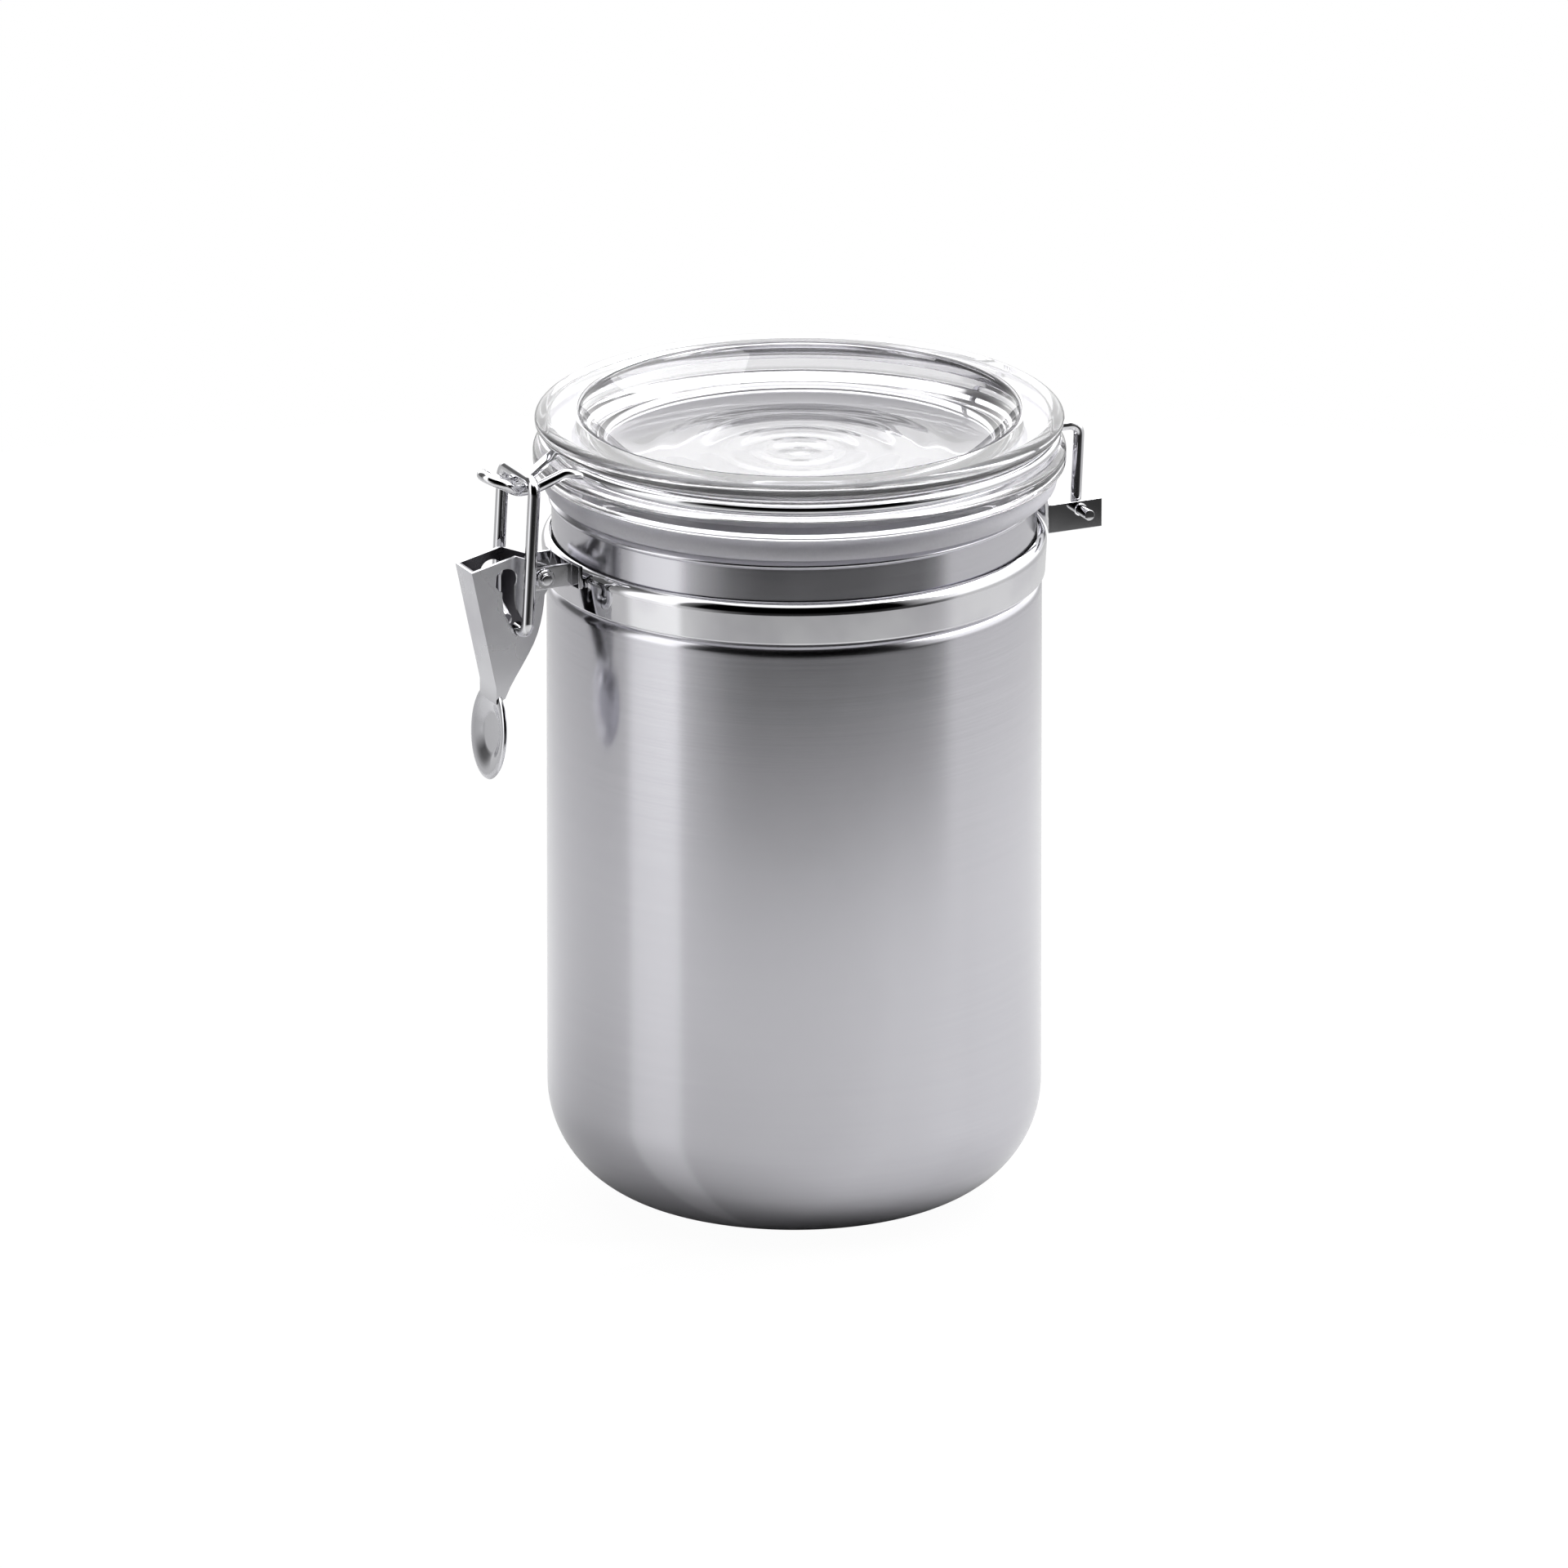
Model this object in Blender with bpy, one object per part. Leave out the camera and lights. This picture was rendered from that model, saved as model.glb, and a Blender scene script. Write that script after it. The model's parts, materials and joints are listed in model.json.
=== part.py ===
"""Wire-bail storage canister: steel body, clear hinged lid, folded toggle lever.

Metres, +Z up. The origin is the centre of the flat base. The latch is at the front (-Y)
and the lid's hinge is at the back (+Y). Every hinge axis runs along X.
"""
import math

import bmesh
import bpy
from mathutils import Matrix, Vector

MM = 0.001
TURN_STEPS = 48

# Canister shell: one deep-drawn piece
BODY_R = 55.0 * MM
CORNER_R = 25.0 * MM
WALL = 0.6 * MM
SHOULDER_Z = 141.2 * MM
NECK_R = 53.9 * MM
NECK_START_Z = 142.4 * MM
MOUTH_Z = 162.2 * MM
MOUTH_BEAD_R = 54.6 * MM

# Clamp band round the neck
BAND_BOTTOM = 142.8 * MM
BAND_TOP = 153.2 * MM
BAND_IN_R = 54.3 * MM
BAND_OUT_R = 56.1 * MM
BAND_ROLL = 1.6 * MM

# Clear lid, hung slightly towards its hinge
LID_SET_BACK = 1.3 * MM
LID_TOP = 180.5 * MM
RIM_R = 58.8 * MM
RECESS_R = 48.7 * MM
RIM_BOTTOM = 176.6 * MM
GROOVE_R = 55.3 * MM
FLANGE_TOP = 173.0 * MM
FLANGE_R = 59.2 * MM
FLANGE_BOTTOM = 168.0 * MM
SKIRT_R = 49.5 * MM
SKIRT_BOTTOM = 157.5 * MM
SKIRT_WALL = 2.6 * MM
FLOOR_TOP = 170.8 * MM
FLOOR_WALL = 2.8 * MM

# Gasket under the lid's flange
GASKET_IN_R = 49.9 * MM
GASKET_OUT_R = 57.2 * MM
GASKET_BOTTOM = 162.5 * MM
GASKET_TOP = 167.6 * MM

# Lid wire: one wire that makes the hinge legs, the ring in the groove and the nose
LID_WIRE_R = 1.2 * MM
RING_R = 56.9 * MM
RING_Z = 175.0 * MM
NOSE_LEAVE_X = 6.6 * MM
NOSE_WAIST_X = 3.0 * MM
NOSE_WAIST_Y = -66.9 * MM
NOSE_WAIST_Z = 171.6 * MM
NOSE_LOOP_R = 3.6 * MM
NOSE_TIP_Y = -75.8 * MM
NOSE_TIP_Z = 175.1 * MM
NOSE_RISE = 1.6 * MM

# Lid hinge
HINGE_Y = 59.6 * MM
HINGE_Z = 155.7 * MM
LEG_X = 20.0 * MM
LEG_TOP_Y = 60.5 * MM
HINGE_EAR_IN_X = 21.6 * MM
HINGE_EAR_END_Y = 64.9 * MM
STUB_END_X = 27.4 * MM

# Lever pivot on the latch bracket
PIVOT_Y = -63.7 * MM
PIVOT_Z = 151.4 * MM
LATCH_EAR_IN_X = 4.8 * MM
EAR_THICK = 1.0 * MM
PIN_R = 1.3 * MM
PIN_HEAD_R = 2.2 * MM
HOLE_PLAY = 0.25 * MM

# Lever: folded channel with a dished thumb tab
LEVER_HALF = 4.4 * MM
SHEET = 0.9 * MM
SPINE_TOP_Y = -80.7 * MM
SPINE_TOP_Z = 154.4 * MM
SPINE_FOOT_Y = -74.8 * MM
SPINE_FOOT_Z = 126.9 * MM
WINDOW_Y = -72.3 * MM
WINDOW_Z = 151.6 * MM
WINDOW_R = 2.75 * MM
TAB_Y = -73.9 * MM
TAB_Z = 115.6 * MM
TAB_HALF_WIDTH = 8.8 * MM
TAB_HALF_LENGTH = 10.8 * MM
TAB_LEAN = math.radians(4.5)

# Link: rectangular wire bail hung on the lever
LINK_WIRE_R = 1.4 * MM
LINK_Y = -69.0 * MM
LINK_Z = 140.0 * MM
LINK_LEG_X = 8.3 * MM
LINK_END_X = 2.9 * MM
BAR_Y = -67.2 * MM
BAR_Z = 174.4 * MM
LINK_BEND = 2.6 * MM


def clear_scene():
    for old in list(bpy.data.objects):
        bpy.data.objects.remove(old, do_unlink=True)


def metal(name, colour, roughness):
    return principled(name, colour, roughness, 1.0)


def principled(name, colour, roughness, metallic):
    material = bpy.data.materials.new(name)
    material.use_nodes = True
    shader = material.node_tree.nodes["Principled BSDF"]
    shader.inputs["Base Color"].default_value = (*colour, 1.0)
    shader.inputs["Roughness"].default_value = roughness
    shader.inputs["Metallic"].default_value = metallic
    return material


def arc(centre_y, centre_z, radius, start, end, steps):
    """Points along a circular arc, angles in degrees, from start to end."""
    points = []
    for step in range(steps + 1):
        angle = math.radians(start + (end - start) * step / steps)
        points.append((centre_y + radius * math.cos(angle), centre_z + radius * math.sin(angle)))
    return points


def add_object(name, bm, material, smooth_angle=35.0):
    """Closes, orients and links a mesh as a named object."""
    bmesh.ops.recalc_face_normals(bm, faces=bm.faces[:])
    mesh = bpy.data.meshes.new(name)
    bm.to_mesh(mesh)
    bm.free()
    obj = bpy.data.objects.new(name, mesh)
    bpy.context.collection.objects.link(obj)
    if material:
        mesh.materials.append(material)
    mesh.shade_smooth()
    mesh.set_sharp_from_angle(angle=math.radians(smooth_angle))
    return obj


def turned(name, profile, material, closed, axis=Vector((0.0, 0.0, 1.0)), steps=TURN_STEPS):
    """Turns a profile of (radius, height) points round the axis."""
    side = Vector((1.0, 0.0, 0.0)) if axis.z else Vector((0.0, 0.0, 1.0))
    bm = bmesh.new()
    verts = [bm.verts.new(side * radius + axis * height) for radius, height in profile]
    pairs = list(zip(verts, verts[1:]))
    if closed:
        pairs.append((verts[-1], verts[0]))
    edges = [bm.edges.new(pair) for pair in pairs]
    bmesh.ops.spin(bm, geom=verts + edges, cent=(0.0, 0.0, 0.0), axis=axis,
                   angle=math.tau, steps=steps, use_merge=True)
    bmesh.ops.remove_doubles(bm, verts=bm.verts[:], dist=1e-6)
    return add_object(name, bm, material)


def extruded(name, outline, material, direction, smooth_angle=35.0):
    """Extrudes a closed outline of 3-D points along a direction."""
    bm = bmesh.new()
    face = bm.faces.new([bm.verts.new(point) for point in outline])
    result = bmesh.ops.extrude_face_region(bm, geom=[face])
    moved = [item for item in result["geom"] if isinstance(item, bmesh.types.BMVert)]
    bmesh.ops.translate(bm, verts=moved, vec=direction)
    return add_object(name, bm, material, smooth_angle)


def as_guide(obj):
    obj.hide_render = True
    obj.display_type = "WIRE"
    return obj


def combine(target, tool, operation):
    """Adds an exact Boolean with a hidden tool object."""
    boolean = target.modifiers.new(tool.name, "BOOLEAN")
    boolean.operation = operation
    boolean.solver = "EXACT"
    boolean.object = as_guide(tool)


def cross_hole(name, y, z, radius, half_length):
    """A round cutter along X."""
    profile = [(0.0, half_length), (radius, half_length), (radius, -half_length), (0.0, -half_length)]
    cutter = turned(name, profile, None, False, axis=Vector((1.0, 0.0, 0.0)), steps=20)
    cutter.location = (0.0, y, z)
    return cutter


def rounded_path(corners, steps=5):
    """A path through corners given as (point, bend radius), with an arc at each bend."""
    path = [corners[0][0]]
    for before, corner, after in zip(corners, corners[1:], corners[2:]):
        point, bend = corner
        back = (before[0] - point).normalized()
        ahead = (after[0] - point).normalized()
        half = back.angle(ahead) / 2
        if bend == 0.0 or half > math.radians(88.0):
            path.append(point)
            continue
        centre = point + (back + ahead).normalized() * (bend / math.sin(half))
        first = point + back * (bend / math.tan(half)) - centre
        last = point + ahead * (bend / math.tan(half)) - centre
        for step in range(steps + 1):
            path.append(centre + bend * first.slerp(last, step / steps))
    path.append(corners[-1][0])
    return path


def wire(name, path, radius, material, origin):
    """A round wire along a path, with flat ends and its origin on its hinge axis."""
    curve = bpy.data.curves.new(name, "CURVE")
    curve.dimensions = "3D"
    curve.bevel_depth = radius
    curve.bevel_resolution = 2
    curve.use_fill_caps = True
    spline = curve.splines.new("POLY")
    spline.points.add(len(path) - 1)
    for target, point in zip(spline.points, path):
        target.co = (*(point - origin), 1.0)
    curve.materials.append(material)
    obj = bpy.data.objects.new(name, curve)
    obj.location = origin
    bpy.context.collection.objects.link(obj)
    return obj


def make_shell(steel):
    """Straight body with a wide bottom corner, a stepped-in neck and a beaded mouth."""
    outside = [(MOUTH_BEAD_R - 0.5 * MM, MOUTH_Z), (MOUTH_BEAD_R, MOUTH_Z - 0.5 * MM),
               (MOUTH_BEAD_R, MOUTH_Z - 1.1 * MM), (NECK_R, MOUTH_Z - 1.7 * MM),
               (NECK_R, NECK_START_Z), (BODY_R, SHOULDER_Z)]
    outside += arc(BODY_R - CORNER_R, CORNER_R, CORNER_R, 0.0, -90.0, 9)
    inside = arc(BODY_R - CORNER_R, CORNER_R, CORNER_R - WALL, -90.0, 0.0, 9)
    inside += [(BODY_R - WALL, SHOULDER_Z - WALL), (NECK_R - WALL, NECK_START_Z - WALL),
               (NECK_R - WALL, MOUTH_Z)]
    profile = [*outside, (0.0, 0.0)]
    profile += [(0.0, WALL), *inside]
    return turned("canister_shell", profile, steel, True)


def make_band(chrome):
    """Flat-faced ring with a rolled edge above and below."""
    face_r = BAND_OUT_R - BAND_ROLL
    outline = arc(face_r, BAND_TOP - BAND_ROLL, BAND_ROLL, 90.0, 0.0, 4)
    outline += arc(face_r, BAND_BOTTOM + BAND_ROLL, BAND_ROLL, 0.0, -60.0, 4)
    outline += [(BAND_IN_R, BAND_BOTTOM), (BAND_IN_R, BAND_TOP)]
    return turned("clamp_band", outline, chrome, True)


def saddle_outline(ear_in_x, ear_end_y, flange):
    """Half plan of a bracket on the +X side: a foot that follows the band, and an ear off it."""
    foot_in_r = BAND_OUT_R + 0.3 * MM
    foot_out_r = foot_in_r + EAR_THICK
    ear_out_x = ear_in_x + EAR_THICK
    end_x = ear_out_x + flange
    inner = [(end_x * step / 4, foot_in_r) for step in range(5)]
    outer = [(end_x, foot_out_r)] if flange else []
    outer += [(ear_out_x, foot_out_r)]
    plan = [(x, math.sqrt(radius ** 2 - x ** 2)) for x, radius in inner + outer]
    plan += [(ear_out_x, ear_end_y), (ear_in_x, ear_end_y)]
    for step in range(4):
        x = ear_in_x * (1 - step / 4)
        plan.append((x, math.sqrt(foot_out_r ** 2 - x ** 2)))
    return plan


def make_bracket(name, side, half_plan, bottom, height, steel):
    """Mirrors the half plan and extrudes it upwards; side is -1 for the front, 1 for the back."""
    half_plan = half_plan + [(0.0, BAND_OUT_R + 0.3 * MM + EAR_THICK)]
    plan = half_plan + [(-x, y) for x, y in half_plan[-2:0:-1]]
    outline = [(x, side * y, bottom) for x, y in plan]
    return extruded(name, outline, steel, (0.0, 0.0, height))


def make_latch_bracket(chrome):
    """Carries the lever's pivot pin between two ears."""
    plan = saddle_outline(LATCH_EAR_IN_X, -PIVOT_Y + 2.7 * MM, 3.0 * MM)
    bracket = make_bracket("latch_bracket", -1.0, plan, PIVOT_Z - 2.6 * MM, 5.2 * MM, chrome)
    hole = cross_hole("latch_pin_hole", PIVOT_Y, PIVOT_Z, PIN_R + HOLE_PLAY, 12.0 * MM)
    combine(bracket, hole, "DIFFERENCE")
    return bracket


def make_hinge_bracket(chrome):
    """Carries the two stub ends of the lid wire."""
    plan = saddle_outline(HINGE_EAR_IN_X, HINGE_EAR_END_Y, 0.0)
    bracket = make_bracket("hinge_bracket", 1.0, plan, HINGE_Z - 4.6 * MM, 6.6 * MM, chrome)
    hole = cross_hole("hinge_stub_hole", HINGE_Y, HINGE_Z, LID_WIRE_R + HOLE_PLAY, 30.0 * MM)
    combine(bracket, hole, "DIFFERENCE")
    return bracket


def make_pivot_pin(chrome):
    """Rivet through the ears and the lever, with a washer head and a stub on each side."""
    ear_out = LATCH_EAR_IN_X + EAR_THICK
    head_in = ear_out + 0.3 * MM
    head_out = head_in + 0.6 * MM
    stub_end = head_out + 0.8 * MM
    half = [(PIN_R, head_in), (PIN_HEAD_R, head_in), (PIN_HEAD_R, head_out), (PIN_R, head_out),
            (PIN_R, stub_end - 0.3 * MM), (PIN_R - 0.3 * MM, stub_end), (0.0, stub_end)]
    profile = half[::-1] + [(radius, -height) for radius, height in half]
    pin = turned("lever_pivot_pin", profile, chrome, False, axis=Vector((1.0, 0.0, 0.0)), steps=20)
    pin.location = (0.0, PIVOT_Y, PIVOT_Z)
    return pin


def cheek_outline():
    """Side view of the lever, (y, z), from the top of the spine clockwise to its foot."""
    outline = [(SPINE_TOP_Y, SPINE_TOP_Z), (-69.9 * MM, 156.9 * MM)]
    outline += arc(PIVOT_Y, PIVOT_Z, 2.9 * MM, 75.0, -30.0, 6)
    outline += [(-63.0 * MM, 147.1 * MM), (-63.5 * MM, 143.0 * MM), (-64.7 * MM, 138.4 * MM),
                (-67.0 * MM, 133.8 * MM), (-70.0 * MM, 129.1 * MM), (-72.6 * MM, 124.3 * MM)]
    outline += [(SPINE_FOOT_Y, 123.1 * MM), (SPINE_FOOT_Y, SPINE_FOOT_Z)]
    return outline


def make_lever_channel(chrome):
    """Sheet folded into a channel: a spine outside and two cheeks towards the canister."""
    outer = [(-LEVER_HALF, y, z) for y, z in cheek_outline()]
    lever = extruded("lever", outer, chrome, (2 * LEVER_HALF, 0.0, 0.0), 30.0)
    half = LEVER_HALF - SHEET
    low = SPINE_FOOT_Z - SHEET
    high = SPINE_TOP_Z + 6.0 * MM
    past = PIVOT_Y + 8.0 * MM
    slot = [(SPINE_TOP_Y + SHEET, SPINE_TOP_Z), (SPINE_TOP_Y + SHEET - 1.2 * MM, high), (past, high),
            (past, low), (SPINE_FOOT_Y + SHEET, low)]
    hollow = extruded("lever_hollow", [(-half, y, z) for y, z in slot], None, (2 * half, 0.0, 0.0))
    combine(lever, hollow, "DIFFERENCE")
    holes = {"lever_pin_hole": (PIVOT_Y, PIVOT_Z, PIN_R + HOLE_PLAY),
             "lever_link_hole": (LINK_Y, LINK_Z, LINK_WIRE_R + HOLE_PLAY),
             "lever_window": (WINDOW_Y, WINDOW_Z, WINDOW_R)}
    for name, (y, z, radius) in holes.items():
        combine(lever, cross_hole(name, y, z, radius, 8.0 * MM), "DIFFERENCE")
    return lever


def make_thumb_tab():
    """Oval dish: a raised rim round a flat oval pad, in one thickness of sheet."""
    front = [(0.0, 0.0), (0.42, 0.0), (0.62, 0.5), (0.86, 1.2), (0.95, 1.1), (1.0, 0.6)]
    back = [(0.95, 0.1), (0.86, 0.2), (0.64, -0.5), (0.44, -SHEET / MM), (0.0, -SHEET / MM)]
    profile = [(share * TAB_HALF_LENGTH, depth * MM) for share, depth in front + back]
    tab = turned("thumb_tab", profile, None, False, steps=32)
    squeeze = Matrix.Diagonal((TAB_HALF_WIDTH / TAB_HALF_LENGTH, 1.0, 1.0, 1.0))
    stand = Matrix.Rotation(math.radians(90.0) - TAB_LEAN, 4, "X")
    tab.data.transform(Matrix.Translation((0.0, TAB_Y, TAB_Z)) @ stand @ squeeze)
    return tab


def make_lever(chrome):
    """The folded channel and its thumb tab, moved to the pivot's axis."""
    lever = make_lever_channel(chrome)
    combine(lever, make_thumb_tab(), "UNION")
    pivot = Vector((0.0, PIVOT_Y, PIVOT_Z))
    lever.data.transform(Matrix.Translation(-pivot))
    lever.location = pivot
    return lever


def make_link(chrome):
    """Wire bail: ends turned into the lever's cheeks, and a bar over the lid wire's nose."""
    half = [(Vector((LINK_END_X, LINK_Y, LINK_Z)), 0.0),
            (Vector((LINK_LEG_X, LINK_Y, LINK_Z)), LINK_BEND),
            (Vector((LINK_LEG_X, BAR_Y, BAR_Z)), LINK_BEND)]
    mirrored = [(Vector((-point.x, point.y, point.z)), bend) for point, bend in half[::-1]]
    path = rounded_path(half + mirrored)
    return wire("link_bail", path, LINK_WIRE_R, chrome, Vector((0.0, LINK_Y, LINK_Z)))


def nose_half():
    """Nose of the lid wire from its tip to the ring, on the +X side."""
    loop_y = NOSE_TIP_Y + NOSE_LOOP_R
    tip = []
    for step in range(7):
        angle = math.radians(15.0 * step)
        rise = NOSE_RISE * math.cos(angle)
        tip.append(Vector((NOSE_LOOP_R * math.sin(angle), loop_y - NOSE_LOOP_R * math.cos(angle),
                           NOSE_TIP_Z - NOSE_RISE + rise)))
    ring_y = LID_SET_BACK - math.sqrt(RING_R ** 2 - NOSE_LEAVE_X ** 2)
    corners = [(tip[-1], 0.0),
               (Vector((NOSE_WAIST_X + 0.3 * MM, NOSE_WAIST_Y - 2.2 * MM, NOSE_WAIST_Z)), 4.0 * MM),
               (Vector((NOSE_WAIST_X, NOSE_WAIST_Y + 2.2 * MM, NOSE_WAIST_Z)), 4.0 * MM),
               (Vector((NOSE_LEAVE_X - 1.4 * MM, ring_y - 2.8 * MM, RING_Z)), 3.0 * MM),
               (Vector((NOSE_LEAVE_X + 1.6 * MM, ring_y + 0.1 * MM, RING_Z)), 0.0)]
    return tip + rounded_path(corners, 4)[1:]


def ring_half():
    """Ring in the lid's groove, from the nose round to the hinge leg, on the +X side."""
    start = math.asin((NOSE_LEAVE_X + 1.6 * MM) / RING_R) + math.radians(2.5)
    end = math.pi - math.asin(LEG_X / RING_R) - math.radians(5.0)
    points = []
    for step in range(31):
        angle = start + (end - start) * step / 30
        y = LID_SET_BACK - RING_R * math.cos(angle)
        points.append(Vector((RING_R * math.sin(angle), y, RING_Z)))
    return points


def leg_half():
    """Hinge leg: back out of the groove, down beside the ear, and out through its hole."""
    leave_y = LID_SET_BACK + math.sqrt(RING_R ** 2 - LEG_X ** 2)
    corners = [(ring_half()[-1], 0.0),
               (Vector((LEG_X, leave_y, RING_Z)), 1.6 * MM),
               (Vector((LEG_X, LEG_TOP_Y, RING_Z)), 2.4 * MM),
               (Vector((LEG_X, HINGE_Y, HINGE_Z)), 1.4 * MM),
               (Vector((STUB_END_X, HINGE_Y, HINGE_Z)), 0.0)]
    return rounded_path(corners, 4)[1:]


def make_lid_wire(chrome):
    """One wire, mirrored: stub, leg, half ring, nose, half ring, leg, stub."""
    half = nose_half() + ring_half() + leg_half()
    mirrored = [Vector((-point.x, point.y, point.z)) for point in half[:0:-1]]
    return wire("lid_wire", mirrored + half, LID_WIRE_R, chrome, Vector((0.0, HINGE_Y, HINGE_Z)))


def make_lid(clear):
    """Dished floor, thick rounded rim, wire groove, lower flange and a locating skirt."""
    floor = [(0.0, FLOOR_TOP), (30.0 * MM, FLOOR_TOP + 0.5 * MM), (39.0 * MM, FLOOR_TOP + 1.9 * MM),
             (44.5 * MM, FLOOR_TOP + 4.2 * MM), (47.4 * MM, FLOOR_TOP + 7.4 * MM)]
    rim = [(RECESS_R, LID_TOP - 0.9 * MM), (RECESS_R + 1.4 * MM, LID_TOP)]
    rim += arc(RIM_R - 2.6 * MM, LID_TOP - 2.6 * MM, 2.6 * MM, 100.0, -20.0, 5)
    groove = [(RIM_R - 1.0 * MM, RIM_BOTTOM), (GROOVE_R, RIM_BOTTOM), (GROOVE_R, FLANGE_TOP)]
    flange = arc(FLANGE_R - 1.2 * MM, FLANGE_TOP - 1.2 * MM, 1.2 * MM, 90.0, 0.0, 2)
    flange += arc(FLANGE_R - 1.2 * MM, FLANGE_BOTTOM + 1.2 * MM, 1.2 * MM, 0.0, -90.0, 2)
    skirt = [(SKIRT_R, FLANGE_BOTTOM), (SKIRT_R, SKIRT_BOTTOM + 3.0 * MM),
             (SKIRT_R - 0.8 * MM, SKIRT_BOTTOM + 0.9 * MM), (SKIRT_R - 1.8 * MM, SKIRT_BOTTOM),
             (SKIRT_R - SKIRT_WALL, SKIRT_BOTTOM), (SKIRT_R - SKIRT_WALL, FLOOR_TOP - 0.6 * MM)]
    under = [(43.0 * MM, FLOOR_TOP - 0.4 * MM), (38.0 * MM, FLOOR_TOP - 1.4 * MM),
             (29.0 * MM, FLOOR_TOP - FLOOR_WALL + 0.5 * MM), (0.0, FLOOR_TOP - FLOOR_WALL)]
    lid = turned("lid", floor + rim + groove + flange + skirt + under, clear, False)
    lid.location.y = LID_SET_BACK
    return lid


def make_gasket(silicone):
    """Flat ring with rounded edges, carried on the lid's skirt above the mouth."""
    middle = (GASKET_BOTTOM + GASKET_TOP) / 2
    outline = [(GASKET_IN_R, GASKET_TOP), (GASKET_OUT_R - 0.5 * MM, GASKET_TOP), (GASKET_OUT_R, middle),
               (GASKET_OUT_R - 0.5 * MM, GASKET_BOTTOM), (GASKET_IN_R, GASKET_BOTTOM)]
    gasket = turned("gasket", outline, silicone, True)
    gasket.location.y = LID_SET_BACK
    return gasket


def hinge_parent(name, y, z, children):
    """Empty on a hinge axis that carries the pieces that turn about it."""
    pivot = bpy.data.objects.new(name, None)
    pivot.location = (0.0, y, z)
    bpy.context.collection.objects.link(pivot)
    for child in children:
        child.parent = pivot
        child.matrix_parent_inverse = Matrix.Translation((0.0, -y, -z))


def main():
    clear_scene()
    brushed = metal("brushed_steel", (0.62, 0.61, 0.64), 0.32)
    chrome = metal("polished_steel", (0.70, 0.70, 0.72), 0.08)
    clear = principled("clear_plastic", (0.92, 0.93, 0.95), 0.05, 0.0)
    silicone = principled("silicone", (0.80, 0.79, 0.83), 0.45, 0.0)

    make_shell(brushed)
    make_band(chrome)
    make_latch_bracket(chrome)
    make_hinge_bracket(chrome)
    make_pivot_pin(chrome)
    lever = make_lever(chrome)
    link = make_link(chrome)
    lid_pieces = [make_lid(clear), make_gasket(silicone), make_lid_wire(chrome)]

    hinge_parent("lid_hinge", HINGE_Y, HINGE_Z, lid_pieces)
    hinge_parent("lever_pivot", PIVOT_Y, PIVOT_Z, [lever])
    hinge_parent("link_pivot", LINK_Y, LINK_Z, [link])


main()
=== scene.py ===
# %% [markdown]
# # A clip-top canister, piece by piece
#
# The imported model gives every piece its place and its joint. This lesson keeps those places and
# makes each piece again with the detail that a maker would put in it: fine turned profiles,
# folded and rounded sheet, bent wire and a clear moulded lid. Lengths are in metres, so MM turns
# the workshop's millimetres into Blender's units.

# %% Load the frame
import json
import math

import bpy
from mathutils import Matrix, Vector


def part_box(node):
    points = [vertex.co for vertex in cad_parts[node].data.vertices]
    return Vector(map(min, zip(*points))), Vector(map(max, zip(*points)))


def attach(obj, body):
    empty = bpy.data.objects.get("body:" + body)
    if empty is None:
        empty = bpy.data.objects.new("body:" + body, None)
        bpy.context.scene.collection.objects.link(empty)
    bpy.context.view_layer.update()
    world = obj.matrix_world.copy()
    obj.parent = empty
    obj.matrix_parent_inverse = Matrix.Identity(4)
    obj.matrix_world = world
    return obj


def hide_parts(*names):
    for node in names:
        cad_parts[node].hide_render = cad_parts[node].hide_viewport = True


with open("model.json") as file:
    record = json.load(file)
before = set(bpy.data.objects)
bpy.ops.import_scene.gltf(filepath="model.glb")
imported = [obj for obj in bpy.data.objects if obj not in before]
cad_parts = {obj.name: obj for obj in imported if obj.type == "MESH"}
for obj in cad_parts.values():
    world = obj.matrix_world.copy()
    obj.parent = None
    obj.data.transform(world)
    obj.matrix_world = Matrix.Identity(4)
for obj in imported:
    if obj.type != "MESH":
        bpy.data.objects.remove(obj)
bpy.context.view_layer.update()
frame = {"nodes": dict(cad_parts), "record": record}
MM = 0.001
print("nodes:", ", ".join(sorted(frame["nodes"])))

# %% [markdown]
# ## Camera
#
# A lens that stands ten metres off draws upright sides upright, as in a catalogue. The
# camera stands on a ring round the canister: azimuth 65 degrees puts the latch at the left and the
# hinge at the right, and 18 degrees of height looks into the lid's recess.

# %% Camera
VIEW_AZIMUTH = math.radians(65.0)
VIEW_HEIGHT = math.radians(18.0)
VIEW_DISTANCE = 10.0
VIEW_WIDTH = 348.6 * MM
AIM = Vector((0.0, -2.5 * MM, 93.5 * MM))

bpy.ops.object.select_all(action="DESELECT")
bpy.ops.object.camera_add()
camera = bpy.context.object
camera.name = "studio_camera"
camera.data.sensor_width = 36.0
camera.data.lens = camera.data.sensor_width * VIEW_DISTANCE / VIEW_WIDTH
camera.data.clip_end = 100.0
to_camera = Vector((math.sin(VIEW_AZIMUTH) * math.cos(VIEW_HEIGHT),
                    -math.cos(VIEW_AZIMUTH) * math.cos(VIEW_HEIGHT), math.sin(VIEW_HEIGHT)))
camera.location = AIM + VIEW_DISTANCE * to_camera
camera.rotation_euler = to_camera.to_track_quat("Z", "Y").to_euler()
bpy.context.scene.camera = camera
print("lens", round(camera.data.lens), "mm")

# %% [markdown]
# ## Studio
#
# Bright metal shows the room and little else, so the room is the first material. Behind the camera
# the studio is dark: that draws the black lines on wires and rolled edges. A tall white panel at the
# left draws the pale stripe down the body, and the right side and the back are pale. Two gradients
# round the upright axis set the brightness by direction, one below eye level and one above it, and
# height blends them with a white ceiling. What the camera sees directly is plain white.

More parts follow.
